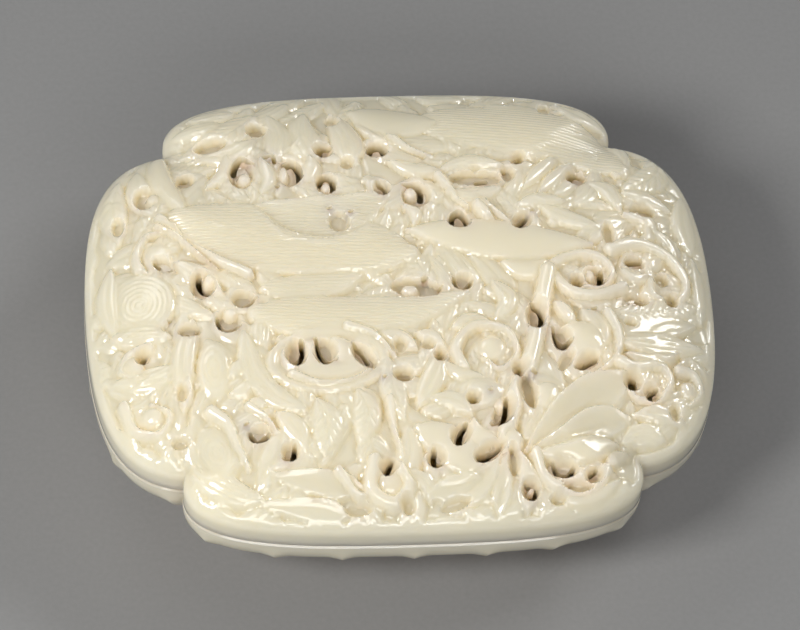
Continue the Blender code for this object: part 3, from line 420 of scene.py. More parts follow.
# The oval panel in the lower left, its raised rim, and the small leaves to its right.
MEDALLION = [
    boss(-17.8, -20.4, 13.6, 8.4, 0.5, 0.2, 3),
    boss(-17.8, -20.4, 11.6, 6.6, 0, 0.2, 3),
    boss(-17.8, -20.4, 10, 5.2, 0.4, 0.5, 3),
    leaf(((-27, -17), (-26.5, -20), (-25, -23)), 3.4, 0.5),
    boss(-15.8, -18.2, 3.4, 3.4, 0.6),
    vine(((-26, -24), (-20, -26.5), (-12, -25.5), (-7, -21)), 0.9, 0.7),
    vine(((-13, -12), (-7, -14.5), (-3, -20)), 1.1, 0.8),
    leaf(((-6, -14), (-2, -15), (2, -18)), 3.8, 0.4, lines=("fold", 0.5, 0.25)),
    leaf(((2, -14), (5, -15), (8, -18)), 3.4, 0.4, lines=("fold", 0.5, 0.25)),
    leaf(((-5, -20), (-4, -28), (-2, -36)), 5.5, 0.3, lines=("veins", 2, 0.2)),
    leaf(((8, -18), (5, -26), (1, -33)), 5.5, 0.3, 0.5, lines=FOLD),
    leaf(((-12, -28), (-10, -34), (-12, -41)), 6, 0.1, lines=VEINS),
    leaf(((-21, -30), (-19, -36), (-20, -43)), 6.5, 0.1, lines=VEINS),
    leaf(((-30, -33), (-26, -37), (-24, -42)), 5, 0.2, lines=FOLD),
    vine(((-5, -31), (-4.5, -37), (-3, -44)), 1, 0.6),
]

BACK_RIGHT = [
    vine(((0, 40), (4, 35.5), (9, 33)), 1, 0.6),
    leaf(((-1, 32), (4, 29.5), (11, 29)), 3.4, 0.3),
    leaf(((11, 23.5), (17, 21.5), (24, 24)), 4.4, 0.3, lines=("ribs", 1.1, 0.25)),
    leaf(((10, 29), (17, 31.5), (25, 30)), 3.6, 0.4, lines=("ribs", 1.1, 0.25)),
    leaf(((28, 33), (36, 37), (44, 37), (50, 30)), 4.2, 0.5, 0.4, "lobe", lines=("ribs", 1.3, 0.2)),
    leaf(((29, 24), (33, 29), (38, 34)), 3.2, 0.4),
    leaf(((32, 22), (36, 27), (41, 32)), 3, 0.4),
    leaf(((35, 21), (39, 24.5), (43, 30)), 2.8, 0.3),
    leaf(((27, 19), (32, 20.5), (38, 20)), 3.6, 0.4, 0.5),
    leaf(((50.5, 41), (51, 35), (50.5, 29)), 7, 0.4, 0.3, "lobe", lines=("ribs", 1.7, 0.2)),
    leaf(((61, 39), (59.5, 30), (51, 23)), 7, 0.3, 0.5, lines=DEEP_VEINS),
    leaf(((66, 26), (65, 18), (66, 9)), 5.5, 0.2, lines=FOLD),
    leaf(((44, 26), (48, 23.5), (50.5, 18)), 4, 0.3, lines=FINE_FOLD),
    leaf(((51, 23), (57, 22.5), (62, 20)), 3.4, 0.4),
    leaf(((51, 8), (56, 11), (56.5, 16), (51, 16.8)), 3, 0.5, 0.5, "lobe"),
    leaf(((57, 14), (61, 10), (62, 4)), 4, 0.3, 0.5, lines=("ribs", 1.1, 0.2)),
    leaf(((32, 19), (38, 15.5), (45, 13)), 4.2, 0.2, lines=FINE_FOLD),
    leaf(((38, 47), (31, 48), (22, 50)), 4.2, 0.1, lines=RIBS),
    leaf(((50, 44), (44, 47), (38, 51)), 4, 0.2, lines=FINE_FOLD),
    vine(((18.5, 19), (21, 14), (25, 9), (28.5, 5.5)), 1.5, 1),
    vine(((19.5, 20), (23, 16.5), (27, 12.5)), 0.8, 0.8),
    vine(((10, 27.5), (12.5, 23.5), (13.5, 21), (16, 19)), 1, 0.7),
    leaf(((1.5, 19.5), (4, 17.5), (3.5, 14)), 2.6, 0.8),
]

# The scrolls that wind round the right end.
RIGHT_END = [
    leaf(((22, 4), (28, 2), (33, 4)), 5, 0.3, 0.5),
    vine(((33, 1), (37, -4.2), (43, -5.3), (49, -3)), 1.2, 0.8, "band"),
    vine(((34, 3), (38, 5.5), (44, 5), (47, 1), (44, -3.2), (39, -2.7)), 1.3, 0.6),
    boss(41.8, 0.3, 2.2, 2.4, 0.3),
    vine(((47, 7), (53, 9), (60, 7), (64, 1), (61.5, -5), (56, -4), (56, 0), (58.5, 2.5)), 1.5, 0.7),
    leaf(((49, 2), (52, 0), (55, 1)), 3, 0.3),
    leaf(((66, 8), (67, 0), (66.5, -9)), 3.2, 0.1),
    leaf(((45, -10), (54, -9.5), (66, -5)), 7, 0.3, 0.3, lines=("veins", 1.8, 0.28)),
    leaf(((44, -13), (53, -13.5), (65, -10)), 6, 0.5, -0.4, "leaf", -0.3),
    leaf(((46, -17), (55, -17), (66, -16)), 5.5, 0.4, lines=("ribs", 1.3, 0.22)),
    leaf(((48, -20), (54, -21.5), (60, -19)), 4, 0.5, 0.3),
    leaf(((63, -19), (66, -24), (63, -30)), 4.5, 0.2, lines=DEEP_FOLD),
    vine(((46.5, -22), (50, -23.5), (56, -22.5), (58, -26), (55, -30), (50, -30.5), (48, -27.5)), 1.3, 0.7),
    vine(((60, -22.7), (63.5, -23), (65, -27), (62, -30.5)), 1.2, 0.6),
    boss(62, -27, 1.8, 2, 0.4, 0.4),
    leaf(((49, -34), (55, -33.5), (61, -35)), 4, 0.2, lines=FINE_FOLD),
    leaf(((46, -40), (51, -38), (56, -39)), 5, 0.1, lines=RIBS),
    leaf(((33, -7), (35.5, -9.5), (37.5, -13)), 2.8, 0.8),
    leaf(((39, -9), (43, -13), (43, -19)), 4.4, 0.3, lines=DEEP_FOLD),
    boss(38, -17.5, 5.4, 5.4, 0.4, 0.8),
    vine(((45, -10), (47, -15), (46, -21), (41, -25)), 1.2, 0.7),
]

# The stem, the scrolls on both its sides, and the open flower.
LOWER_RIGHT = [
    leaf(((20, -1), (23, -6), (20, -11)), 4.5, 0.4, lines=FINE_FOLD),
    leaf(((10, -13), (14, -11.5), (19, -12)), 4.4, 0.5, lines=("ribs", 1.2, 0.22)),
    vine(((12, -24), (10.5, -18), (15, -12.8), (22, -14), (24, -20), (20, -24), (16, -21)), 1.3, 0.7),
    boss(18.5, -18.5, 3, 3, 0.3, 0.6),
    leaf(((8, -22), (11, -25), (16, -26)), 3.4, 0.4),
    boss(15, -29.5, 5, 3.6, 0.2, rings=True),
    leaf(((4, -31), (9, -31.5), (13, -35)), 4, 0.3, lines=FINE_FOLD),
    leaf(((1, -38), (8, -42), (18, -49)), 9, 0.4, 0.4, "lobe"),
    leaf(((13, -36), (14, -40), (19, -42)), 4, 0.4),
    vine(((20, -42), (21, -36), (23.5, -29), (27, -21), (29, -13), (31, -5), (32.5, 1)), 1.9, 0.9, "band"),
    leaf(((26.5, -25), (25, -30), (26, -36)), 3, 0.3, 0.3),
    boss(30, -31, 3, 3.4, 0.3),
    leaf(((45, -24.5), (50, -26)), 2, 0.5, 0.3),
    leaf(((24, -43.5), (31, -37.5), (39, -31), (48, -26)), 9.5, 1, -1, "petal", 0.5),
    leaf(((26, -43), (34, -40.5), (41, -36.5), (47.5, -35)), 7.5, 0.9, -0.8, "petal", 0.4),
    leaf(((25, -44.5), (34, -44), (44.5, -41)), 5.5, 0.7, 0.4, "petal"),
    vine(((26.5, -44), (28, -49), (33, -52), (39, -51.3), (42, -47)), 1.1, 0.7, "band"),
    boss(33, -46, 2.6, 1.4, 0.3, 0.4),
    leaf(((35, -46.5), (36.5, -49.3), (39, -49.5)), 1.8, 0.6),
    leaf(((42, -47), (44.5, -44), (47, -42.5)), 3, 0.4),
    leaf(((22.5, -43), (24.5, -49), (24, -56)), 4.6, 0.5, 0.4, "petal"),
    leaf(((20.5, -43), (19, -49), (17.8, -56)), 4, 0.7, -0.5, "petal", 0.3),
    leaf(((18.5, -43), (14, -50), (9, -54)), 5.4, 0.4, -0.4, "petal", 0.3),
    boss(21.5, -41.5, 2.2, 2.2, 1),
    leaf(((2, -53), (8, -50.5), (14, -49)), 4, 0.4, -0.3, "leaf", 0.3),
    leaf(((30, -53.5), (38, -54), (45, -49)), 3, 0.2),
]

LOWER_EDGE = [
    leaf(((-33, -47), (-24, -48.5), (-12, -50.5)), 5.6, 0.6, -0.6, "petal", 0.4),
    leaf(((-35, -52.5), (-26, -54), (-15, -55.5)), 4.6, 0.5, -0.5, "petal", 0.3),
    vine(((-17, -47), (-13, -52), (-9, -50.5), (-11, -47.5)), 1.1, 0.7),
    vine(((-9, -45), (-10, -51), (-5, -54), (-1.5, -50), (-4, -46.8)), 1.5, 0.6, "band"),
    boss(-5.8, -49.8, 2.4, 2.4, 0.4),
    leaf(((-2, -47), (2, -50), (3, -54)), 3.4, 0.3, lines=FINE_FOLD),
]

# Fine ridges that catch the light, and cut lines.
RIDGES = [
    ((-31, 20), (-27, 13), (-24, 11), (-13, 9.5)), ((-12.5, 30), (-11.5, 27.5), (-4.5, 26.5)),
    ((-31, 21), (-24, 22.6), (-17, 23.2), (-10, 24.7), (-4, 26.6)), ((-9.5, 18.5), (-8.3, 16)),
    ((-19.5, 34), (-16, 31)), ((-19, 32), (-16.5, 30)), ((-23.5, 35.5), (-19.5, 40.5)),
    ((-5, 40.5), (-2, 37.5)), ((-48, 36.5), (-43.5, 36)), ((-48, 33.5), (-45, 33.4)),
    ((-61.5, 19.3), (-55.5, 19.8)), ((-40.5, 25), (-37.5, 23.5)), ((-52, 28), (-51, 25.5), (-48, 20.3)),
    ((-41.5, 16), (-38.5, 14.5)), ((-15, -4.8), (-10, -3), (-6, 0), (0, 3.5), (4, 8)),
    ((-28, 2.4), (-17, 2.8), (-6, 3.2), (-1, 7)), ((19, -1), (21.5, -4.5), (22, -7), (20.5, -9.5)),
    ((15.5, 2.7), (16.5, 1)), ((-49, 3.5), (-47, 1)), ((-57, 6), (-52, 3), (-49, -1), (-45, -4.5)),
    ((-65, -11), (-61, -9.5)), ((-60, -23.5), (-56, -21.5)), ((-59, -27.5), (-53.5, -24)),
    ((-50, -6.5), (-47, -7)), ((-23.5, -13), (-20, -13.3)), ((-35, -44.5), (-32.5, -41.5)),
    ((-33, -46), (-28.5, -45)), ((-58.5, -34.5), (-55, -36)), ((-30, -51), (-20, -53), (-17, -54.5)),
    ((-50, -40), (-48.5, -45), (-45, -50), (-40, -54)), ((-5, -32.5), (-2.5, -34.3)),
    ((-9.8, -16.5), (-7.5, -20)), ((4, -50), (10, -49.5), (15, -47), (18, -45)),
    ((19.3, -22.3), (21.5, -22.5)), ((37, 53), (34.5, 49.5)), ((43, 49.5), (46, 47.5)),
    ((39, 47.5), (44, 45)), ((32, 35.3), (36.5, 37.5)), ((41.5, 40.5), (46, 41)),
    ((44.8, 36), (45.7, 34), (45.5, 32.5)), ((52.5, 19.5), (55, 21.5), (58.5, 22.6)),
    ((30.5, 21.3), (34, 19)), ((61, 33.5), (63, 31)), ((34, -6.5), (35.5, -9), (37, -12)),
    ((46.5, -16), (50, -16.7), (55, -15.5), (60, -13)), ((55, -13.5), (58.5, -11.5), (63.5, -10.6)),
    ((66.5, -9), (67.5, -14), (67.5, -20)), ((55, -19.5), (57.5, -20.5), (60, -18.5)),
    ((53, -21.3), (55.7, -23.5)), ((50.7, -33), (52.5, -33.6)), ((43.5, -44), (44.5, -47)),
    ((24, -50.3), (25.8, -51.5)), ((26, -43.6), (35, -42.6), (40, -39.6)),
]
CUT_LINES = [
    ((-28, 1.6), (-17, 2), (-6, 2.5), (-3.2, 3.4)), ((-64, 27.5), (-61.5, 26.5)), ((-43, 28), (-43, 26)),
    ((-55, 5), (-51, 1), (-50.5, -4), (-52, -8), (-55, -13)), ((-39.5, -37.5), (-38.3, -42), (-36.8, -45)),
    ((60, -0.5), (61, -3), (60.8, -5.5)), ((19.5, -50), (17.3, -55.5)),
    ((27, -41.5), (33, -36.5), (41, -31)), ((29, -41.5), (36, -39.5), (43, -36.3)),
    ((6, -47.5), (4.5, -49.5)), ((-4.3, -35), (-4, -37.5), (-3.3, -40)),
    ((-36.5, -14), (-34.8, -23), (-30.5, -29.5)), ((26.2, -19), (28, -12), (30, -4)),
]

# Round and oval cuts, some with a button left standing in them: middle, one or two radii, angle and depth.
POCKETS = [
    (-34, 30, 3, 4.2), (-23.2, 29.6, 2.8, 4), (-29.8, 43.2, 2.2), (-40.4, 39.6, 3.2, 1.6), (-46.5, 30.2, 2),
    (-55.8, 26, 2.4, 3.2), (-52.5, 6.8, 2.6, 1.6, -35, 1.8), (-44.4, 0.2, 3, 3.6), (-35.6, -3.9, 2.6, 2.2),
    (-39.2, -9.4, 3.4), (-47.6, -11, 2.6, 1.5), (-58, -16, 1.5), (-24.8, -18.4, 2.2, 3.2),
    (-18.4, -18.2, 2.4, 3.4), (-9.8, -19.6, 1.8, 3.6, 35), (-15.3, 26.4, 2.3, 3), (-15.2, 35.9, 2),
    (-10.3, 31.8, 1.6, 1.6, 0, 1.8), (-3.2, 35.8, 2.6, 2.2), (-12.8, 45.6, 1.7, 1.7, 0, 1.8),
    (-2.8, 24.8, 1.8), (4.6, 22.6, 3.8, 3.8), (13.8, 15.8, 2.6, 2.4), (18.4, 26.8, 6, 1.9),
    (28.2, 32.4, 1.8, 1.3, 40), (25.6, 28, 1.5, 1.8), (41.2, 27.6, 2.4, 2.2), (27.8, 15.2, 2.4, 1.9, 45),
    (55.6, 18.8, 2.8, 1.4), (-13, 15.8, 3, 3, 0, 1.7), (3, -2, 6, 2.5, -8), (13.4, -0.6, 2.5, 2.2),
    (-1.4, -24.6, 2, 1.6), (43, -0.2, 2.4, 2.6), (38.8, -1.4, 1.4), (52.3, 4.2, 2.2, 1.3),
    (51.8, -5.6, 2.6, 1.5), (58.2, 0.6, 1.5), (60, -4.4, 1.1, 1.5), (28.8, -10.2, 2, 3.4),
    (34, -16.4, 1.9, 3), (39.4, -22.2, 3, 1.4, 25), (49.3, -26.6, 2), (53.4, -28.8, 1.9),
    (58.4, -32.5, 1.1, 1.8, 0, 1.7), (25.8, -29.5, 1.4, 4.2, 8), (19.4, -34.6, 2, 3.2, -25),
    (10.2, -39.2, 1.8, 2.8, -25), (4.4, -44.6, 1.9), (16.2, -43.6, 3.3, 1.5, 28), (25, -51.6, 2),
    (32.4, -47.4, 2.8, 1.5), (39, -48.4, 1.6, 1.1, 30), (-6, -45.8, 1.3, 2, -25), (-33.8, -37.8, 2.6, 1.9),
    (-27.3, -42.2, 1.9), (-50.2, -26.4, 1, 1.8, 0, 1.6), (21.4, -45.8, 1, 2.8, 0, 1.8),
    (-13, -54.6, 2.8, 1.2, 0, 1.7), (-2, -54.4, 1.4, 1.5, 0, 1.7), (8.2, -54.2, 3.4, 1.1, 15, 1.7),
    (-51, -37, 1.8, 1.2, 0, 1.7), (-62, 19.4, 1.2, 2.2, 0, 1.7), (47, 11.6, 1.3, 2.8, 0, 1.7),
    (13.5, -31, 1.1), (24, -24, 1, 1.5), (7, -19.6, 1, 1.4), (-1.6, -17, 1.5, 1.7, 0, 1.6),
    (4.4, -17, 1.5, 1.1, 0, 1.6), (30.8, -53.6, 1.5, 0.8, 0, 1.6), (35.5, -50.8, 3, 1, 0, 1.6),
    (36, 49, 1.6, 1.8, 0, 1.6), (34.5, -22, 1.3, 2.6, -35, 1.8), (50, -12, 1.4, 0.7, 0, 1.2),
]
# Middle, radii, level and crown.
BUTTONS = [
    (-33.4, 28.8, 1.5, 1.7, -0.4), (-54, 25.4, 1.3, 1.6, -0.3), (-15.4, 25.2, 1.1, 1.4, -0.4),
    (3.4, 23.2, 1.4, 1.4, -0.3), (1.4, -2.6, 1.9, 1.3, -0.2), (-38.6, -7.4, 1.4, 1.2, -0.3),
    (-24.6, 29.4, 1, 2, -0.3), (-42.9, 1.5, 1.1, 1.5, -0.3), (41.9, 0.4, 1, 1.3, -0.3, 0.4),
    (19.2, -32.6, 0.9, 1.4, -0.3), (25, -51.9, 0.8, 0.8, -0.4, 0.4),
]

# Slots cut right through: the width at the start and the end, and the stroke.
SLOTS = [
    (1.6, 0.8, (-35.7, 31.3), (-35, 33.4), (-33.4, 34.3), (-31.2, 32.6)),
    (1.2, 1.1, (-28.8, 34.2), (-26.9, 34.6), (-26.4, 32.6)),
    (1.4, 1.5, (-24.3, 32.2), (-22.4, 32.6), (-21.2, 30.6), (-21, 27.8)),
    (1.5, 0.9, (-16.2, 34.6), (-16, 36.3), (-15, 37.1), (-13.5, 36.7)),
    (1.2, 1.3, (-16.9, 26.6), (-16, 28.3), (-14.4, 28.3), (-13.7, 26.6), (-13.8, 24.5)),
    (1.5, 1.6, (-5, 35.3), (-4.3, 36.8), (-2.2, 37), (-1.3, 35)),
    (1.1, 1.1, (-3.8, 26.3), (-2.4, 25.4), (-1.9, 24), (-2.8, 23)),
    (0.9, 1.5, (1.8, 25.4), (4.6, 25.4), (5.8, 24.2), (5.6, 22)),
    (1.2, 1.3, (12, 15), (12.5, 17.2), (14, 17.7), (15.2, 16.3), (15.8, 14.2)),
    (1.3, 1.3, (18.5, 26.5), (20.6, 26.7)),
    (1.4, 1.3, (28.3, 32.1), (28.9, 32.8)),
    (1.5, 0.8, (39.8, 26), (39.9, 27.9), (41, 28.9), (43.3, 28.1)),
    (1.6, 1.2, (26.5, 14), (27.6, 15), (28.8, 16.3)),
    (1.1, 1, (-54.4, 7.7), (-53.5, 6.9)),
    (1.4, 1.7, (-45, 3), (-44.9, 1), (-44.1, -0.5), (-42.4, -1.1)),
    (1.1, 1, (-35.3, -5), (-32.6, -3.7)),
    (1.1, 1.7, (-41.5, -8.4), (-40.9, -10.5), (-39.2, -11.4), (-37, -10.7)),
    (1.1, 1, (-49.4, -11.7), (-48.2, -11.5)),
    (1.4, 1.3, (-58.3, -16.3), (-57.8, -15.6)),
    (1.2, 1.2, (-23.5, -15.4), (-23.3, -18), (-24.4, -19.9), (-26.4, -20.4)),
    (1.2, 1.5, (-20.3, -15), (-19.6, -17.8), (-18.3, -19.8), (-16.3, -20.6)),
    (1, 1.1, (-12.1, -16.4), (-10.2, -18.3), (-9.1, -20.6)),
    (1.4, 1.3, (-2.1, -25.2), (-0.4, -25.2)),
    (1.1, 1.2, (11.5, 0.5), (12, -1.2), (13.6, -1.9), (15.2, -0.4)),
    (1.6, 1.5, (38.2, -1.7), (39, -1.4)),
    (1.5, 1.4, (44.1, -1.8), (44.3, 1.2)),
    (1.3, 1.2, (28.3, -7.1), (29.8, -8.4), (30.2, -10.6), (29.4, -12.6), (27.4, -13.3)),
    (1, 2, (32.3, -13.4), (32.8, -15.9), (34.2, -17.4), (35.8, -17)),
    (1.3, 1.2, (37.6, -23), (41.4, -21)),
    (1.1, 1, (50.7, 4.7), (53.8, 5.2)),
    (1.1, 1, (52, -5.3), (54.4, -6.2)),
    (2, 1.9, (49.2, -25.9), (49.3, -27.2)),
    (1.3, 1.2, (53, -30.1), (53.1, -28.6), (54.5, -27.6)),
    (1.3, 1.3, (30.1, -46.4), (31.3, -47.9), (33.2, -48.1), (34.5, -46.9)),
    (1, 1, (38.1, -48), (39.5, -47.1)),
    (1.1, 1.1, (23.8, -50.3), (25.6, -50.8), (26, -52), (24.6, -52.9)),
    (2, 0.8, (14.2, -44.5), (16.6, -43.4), (19, -41.9)),
    (1.2, 1.5, (11.4, -36.9), (10.1, -38.9), (9.6, -41.3)),
    (1.3, 1.3, (4.1, -42.9), (4, -44.9), (5.6, -45.9)),
    (1.1, 1.4, (20.6, -31.6), (20.2, -34.6), (19, -36.7), (17.2, -37.4)),
    (1.1, 1.4, (-5.3, -44.6), (-6.6, -46.9)),
    (1.3, 1.4, (-35.7, -37.2), (-34.4, -38.7), (-32, -37.7)),
    (1.1, 1.5, (-26.3, -40.8), (-26.8, -43), (-28.6, -43.7)),
    (1, 1, (23.6, -25), (24.2, -23.4)),
]

# Drilled holes too fine for the solid: the middle and width of each.
HOLES = [
    (-26.2, 26, 0.8), (-37.6, 39.4, 1), (-28.6, 42.6, 0.9), (-46.6, 31, 1), (-15, 19.2, 0.8),
    (-10.3, 18.3, 0.8), (24.8, 28.9, 0.9), (55.8, 18.2, 0.9), (-51, 5.5, 0.8), (-46, -11, 0.8),
    (-52, -8, 0.7), (5, 0.2, 1), (8.3, -2, 0.8), (5.5, -4.2, 0.7), (-5.7, -25.5, 0.8), (42, -8.8, 0.9),
    (59.7, -4.8, 1), (50.3, -7.2, 0.9), (-36.6, -35.2, 0.8), (7, -19.6, 0.9), (13.5, -31, 1),
    (17.3, -29.6, 0.8), (27.2, -25.2, 1), (20.8, -43.4, 0.8), (30.3, 17.6, 0.8),
]


def all_forms():
    """Every form of the carving, in the order in which they are laid on."""
    ridges = [line(points, *RIDGE_LINE) for points in RIDGES]
    cuts = [line(points, *CUT_LINE) for points in CUT_LINES]
    pockets = [pocket(*cut) for cut in POCKETS] + [boss(*button) for button in BUTTONS]
    return (background() + BACK_LEFT + LEFT_END + BACK_RIGHT + RIGHT_END + LOWER_EDGE + BODIES + MEDALLION
            + LOWER_RIGHT + ridges + cuts + pockets)


def piercings():
    """Everything cut right through: a stroke, and its width at the start and the end."""
    holes = [(curve((x - 0.35 * size, y), (x + 0.35 * size, y + 0.2)), size, size) for x, y, size in HOLES]
    return [(curve(*points), start, end) for start, end, *points in SLOTS] + holes


def slot_loop(points, start_width, end_width):
    """A closed counter-clockwise loop round a slot, with rounded ends."""
    gone = np.concatenate([[0.0], np.cumsum(np.hypot(*np.diff(points, axis=0).T))])
    count = max(3, int(math.ceil(gone[-1] / SLOT_STEP)))
    places = np.linspace(0, gone[-1], count + 1)
    picks = np.column_stack([np.interp(places, gone, points[:, k]) for k in (0, 1)])
    ahead = np.gradient(picks, axis=0)
    ahead /= np.hypot(*ahead.T)[:, None]
    normal = np.column_stack([-ahead[:, 1], ahead[:, 0]])
    half = 0.5 * np.linspace(start_width, end_width, count + 1)[:, None]
    right, left = picks - half * normal, picks + half * normal

    def cap(centre, forward, size):
        turns = np.radians([-54, -18, 18, 54])[:, None]
        across = np.array([-forward[1], forward[0]])
        return centre + size * (np.cos(turns) * forward + np.sin(turns) * across)
    far = cap(picks[-1], ahead[-1], half[-1])
    near = cap(picks[0], -ahead[0], half[0])
    return np.vstack([right, far, left[::-1], near])


def stretch(points):
    """From the sheet to the plan, in metres."""
    x = points[:, 0] * HALF_LENGTH / SHEET_HALF_LENGTH
    y = (points[:, 1] - SHEET_MIDDLE_Y) * HALF_DEPTH / SHEET_HALF_DEPTH
    return np.column_stack([x, y])


def to_sheet(x, y):
    return x * SHEET_HALF_LENGTH / HALF_LENGTH, y * SHEET_HALF_DEPTH / HALF_DEPTH + SHEET_MIDDLE_Y


GROUND = -0.8                # the ground that the forms are laid on, in millimetres below the dome
EDGE_SOFT = 0.42             # a form's edge falls off over this width on both sides
GROOVE_PLACE = 0.30          # the groove round a form: how far out it runs, its width and its depth
GROOVE_WIDTH = 0.55
GROOVE_CUT = 0.18
BODY_GROOVE_CUT = 0.10       # a shallower one round the broad hatched bodies
NEAR = 3.0                   # no form reaches further than this past its own edge


def carving(x, y, edge):
    """The carved face at plan points: its height over the dome in metres, and its hatching number or 0."""
    sx, sy = to_sheet(x, y)
    relief = np.full(x.shape, GROUND)
    hatching = np.zeros(x.shape, int)
    for form in all_forms():
        near = near_form(form, sx, sy)
        if not near.any():
            continue
        height, out = form.shape(sx[near], sy[near])
        below = relief[near]
        if form.kind == "add":
            relief[near] = below + height
        elif form.kind == "cut":
            relief[near] = np.minimum(below, height)
            hatching[near] = np.where(height < below, 0, hatching[near])
        else:
            cover = 1 - smooth(out, -EDGE_SOFT, EDGE_SOFT)
            cut = BODY_GROOVE_CUT if form.hatch else GROOVE_CUT
            groove = cut * np.exp(-((out - GROOVE_PLACE) / GROOVE_WIDTH) ** 2)
            relief[near] = below + (height - below) * cover - groove
            hatching[near] = np.where(np.abs(out) < 0.5, 0, np.where(out < 0, form.hatch, hatching[near]))
    share = smooth(edge, BORDER_START, BORDER_END)
    return relief * 0.001 * share, hatching * (share > 0.9)


def near_form(form, sx, sy):
    """Which points are near enough for the form and its groove to reach them."""
    margin = form.reach + NEAR
    low, high = form.points.min(axis=0) - margin, form.points.max(axis=0) + margin
    return (sx > low[0]) & (sx < high[0]) & (sy > low[1]) & (sy < high[1])


# Hatching: rows of fine lines, each with its slope on the sheet, its pitch in millimetres and its depth.
Hatch = namedtuple("Hatch", "slope pitch depth")
HATCHES = {1: Hatch(-0.05, 0.84, 0.16), 2: Hatch(0.0, 0.84, 0.14), 3: Hatch(-0.07, 0.84, 0.16),
           4: Hatch(-0.12, 0.90, 0.15)}


def hatch_phase(number, sx, sy):
    hatch = HATCHES[number]
    return (sy - hatch.slope * sx) / hatch.pitch


def net_corners(rim, loops):
    """Corners for the carved face: an even net, and rows along the hatching."""
    gx, gy = np.meshgrid(np.arange(-HALF_LENGTH, HALF_LENGTH, FINE), np.arange(-HALF_DEPTH, HALF_DEPTH, FINE))
    gx[1::2] += 0.5 * FINE
    gx, gy = gx.ravel(), gy.ravel()
    edge = edge_distance(outline(0.0)[::4], gx, gy)
    inside = edge > -0.001
    gx, gy, edge = gx[inside], gy[inside], edge[inside]
    _, hatching = carving(gx, gy, edge)
    net = [np.column_stack([gx, gy])[hatching == 0]]
    sx, sy = to_sheet(gx, gy)
    for number, hatch in HATCHES.items():
        own = hatching == number
        if not own.any():
            continue
        cells = set(zip((gx[own] // FINE).astype(int), (gy[own] // FINE).astype(int)))
        along = np.arange(sx[own].min(), sx[own].max(), HATCH_STEP)
        phase = hatch_phase(number, sx[own], sy[own])
        rows = np.arange(math.floor(phase.min()) * LINE_ROWS, math.ceil(phase.max()) * LINE_ROWS) / LINE_ROWS
        hx, hp = (g.ravel() for g in np.meshgrid(along, rows))
        hy = hp * hatch.pitch + hatch.slope * hx
        plan = stretch(np.column_stack([hx, hy]))
        keep = [(int(px // FINE), int(py // FINE)) in cells for px, py in plan]
        net.append(plan[keep])
    net = np.vstack(net)
    good = edge_distance(rim, net[:, 0], net[:, 1]) > 0.5 * FINE
    for loop in loops:
        low, high = loop.min(axis=0) - 0.001, loop.max(axis=0) + 0.001
        near = np.all((net > low) & (net < high), axis=1)
        good[near] &= edge_distance(loop, net[near, 0], net[near, 1]) < -0.4 * FINE
    return net[good]


def lid_face(x, y, rim):
    """Height of the carved face over the rim edge, and how deep below the highest forms it lies."""
    edge = edge_distance(rim, x, y)
    relief, hatching = carving(x, y, edge)
    sx, sy = to_sheet(x, y)
    for number, hatch in HATCHES.items():
        own = hatching == number
        relief[own] -= 0.001 * hatch.depth * cut_line(hatch_phase(number, sx[own], sy[own]))
    return dome(edge) + relief, relief


def sheet_mesh(rim, loops, inner):
    """Triangles of a face bounded by rim and pierced by loops. Corners come back in the same order."""
    points = [Vector(p) for p in np.vstack([rim] + loops + [inner])]
    edges, start = [], 0
    for loop in [rim] + loops:
        count = len(loop)
        edges += [(start + i, start + (i + 1) % count) for i in range(count)]
        start += count
    verts, _, faces, origin, _, _ = delaunay_2d_cdt(points, edges, [], 1, 1e-7)
    back = {i: source[0] for i, source in enumerate(origin) if source}
    xy = np.array([tuple(v) for v in verts])
    corners = np.array([tuple(f) for f in faces])
    centres = xy[corners].mean(axis=1)
    keep = edge_distance(rim[::4], centres[:, 0], centres[:, 1]) > 0.002
    close = ~keep
    keep[close] = edge_distance(rim, centres[close, 0], centres[close, 1]) > 0
    for loop in loops:
        low, high = loop.min(axis=0), loop.max(axis=0)
        near = np.all((centres > low) & (centres < high), axis=1)
        keep[near] &= edge_distance(loop, centres[near, 0], centres[near, 1]) < 0
    return [tuple(back[i] for i in face) for face, good in zip(faces, keep) if good]


def band(faces, lower, upper, count):
    """Quads between two rings of count corners, facing outwards when upper lies above lower."""
    for i in range(count):
        j = (i + 1) % count
        faces.append((lower + i, lower + j, upper + j, upper + i))


# How deep the underside of the lid and the bowl's hollow count for the painted shade in the stone's colour,
# in millimetres.
UNDER_LID_SHADE_DEPTH = -2.5
CAVITY_SHADE_DEPTH = -1.5
CREASE = 38.0                # edges sharper than this stay sharp, in degrees


def new_piece(name, vertices, faces, depth, material):
    mesh = bpy.data.meshes.new(name)
    mesh.from_pydata([tuple(v) for v in vertices], [], faces)
    shape = bmesh.new()
    shape.from_mesh(mesh)
    bmesh.ops.triangulate(shape, faces=[f for f in shape.faces if len(f.verts) > 3])
    bmesh.ops.recalc_face_normals(shape, faces=shape.faces[:])
    shape.to_mesh(mesh)
    shape.free()
    mesh.shade_smooth()
    mesh.set_sharp_from_angle(angle=math.radians(CREASE))
    # The depth attribute carries the painted shade of the stone's colour.
    mesh.attributes.new("depth", "FLOAT", "POINT").data.foreach_set("value", depth)
    mesh.materials.append(material)
    piece = bpy.data.objects.new(name, mesh)
    bpy.context.collection.objects.link(piece)
    print(name, len(mesh.vertices), "corners", len(mesh.polygons), "faces")
    return piece


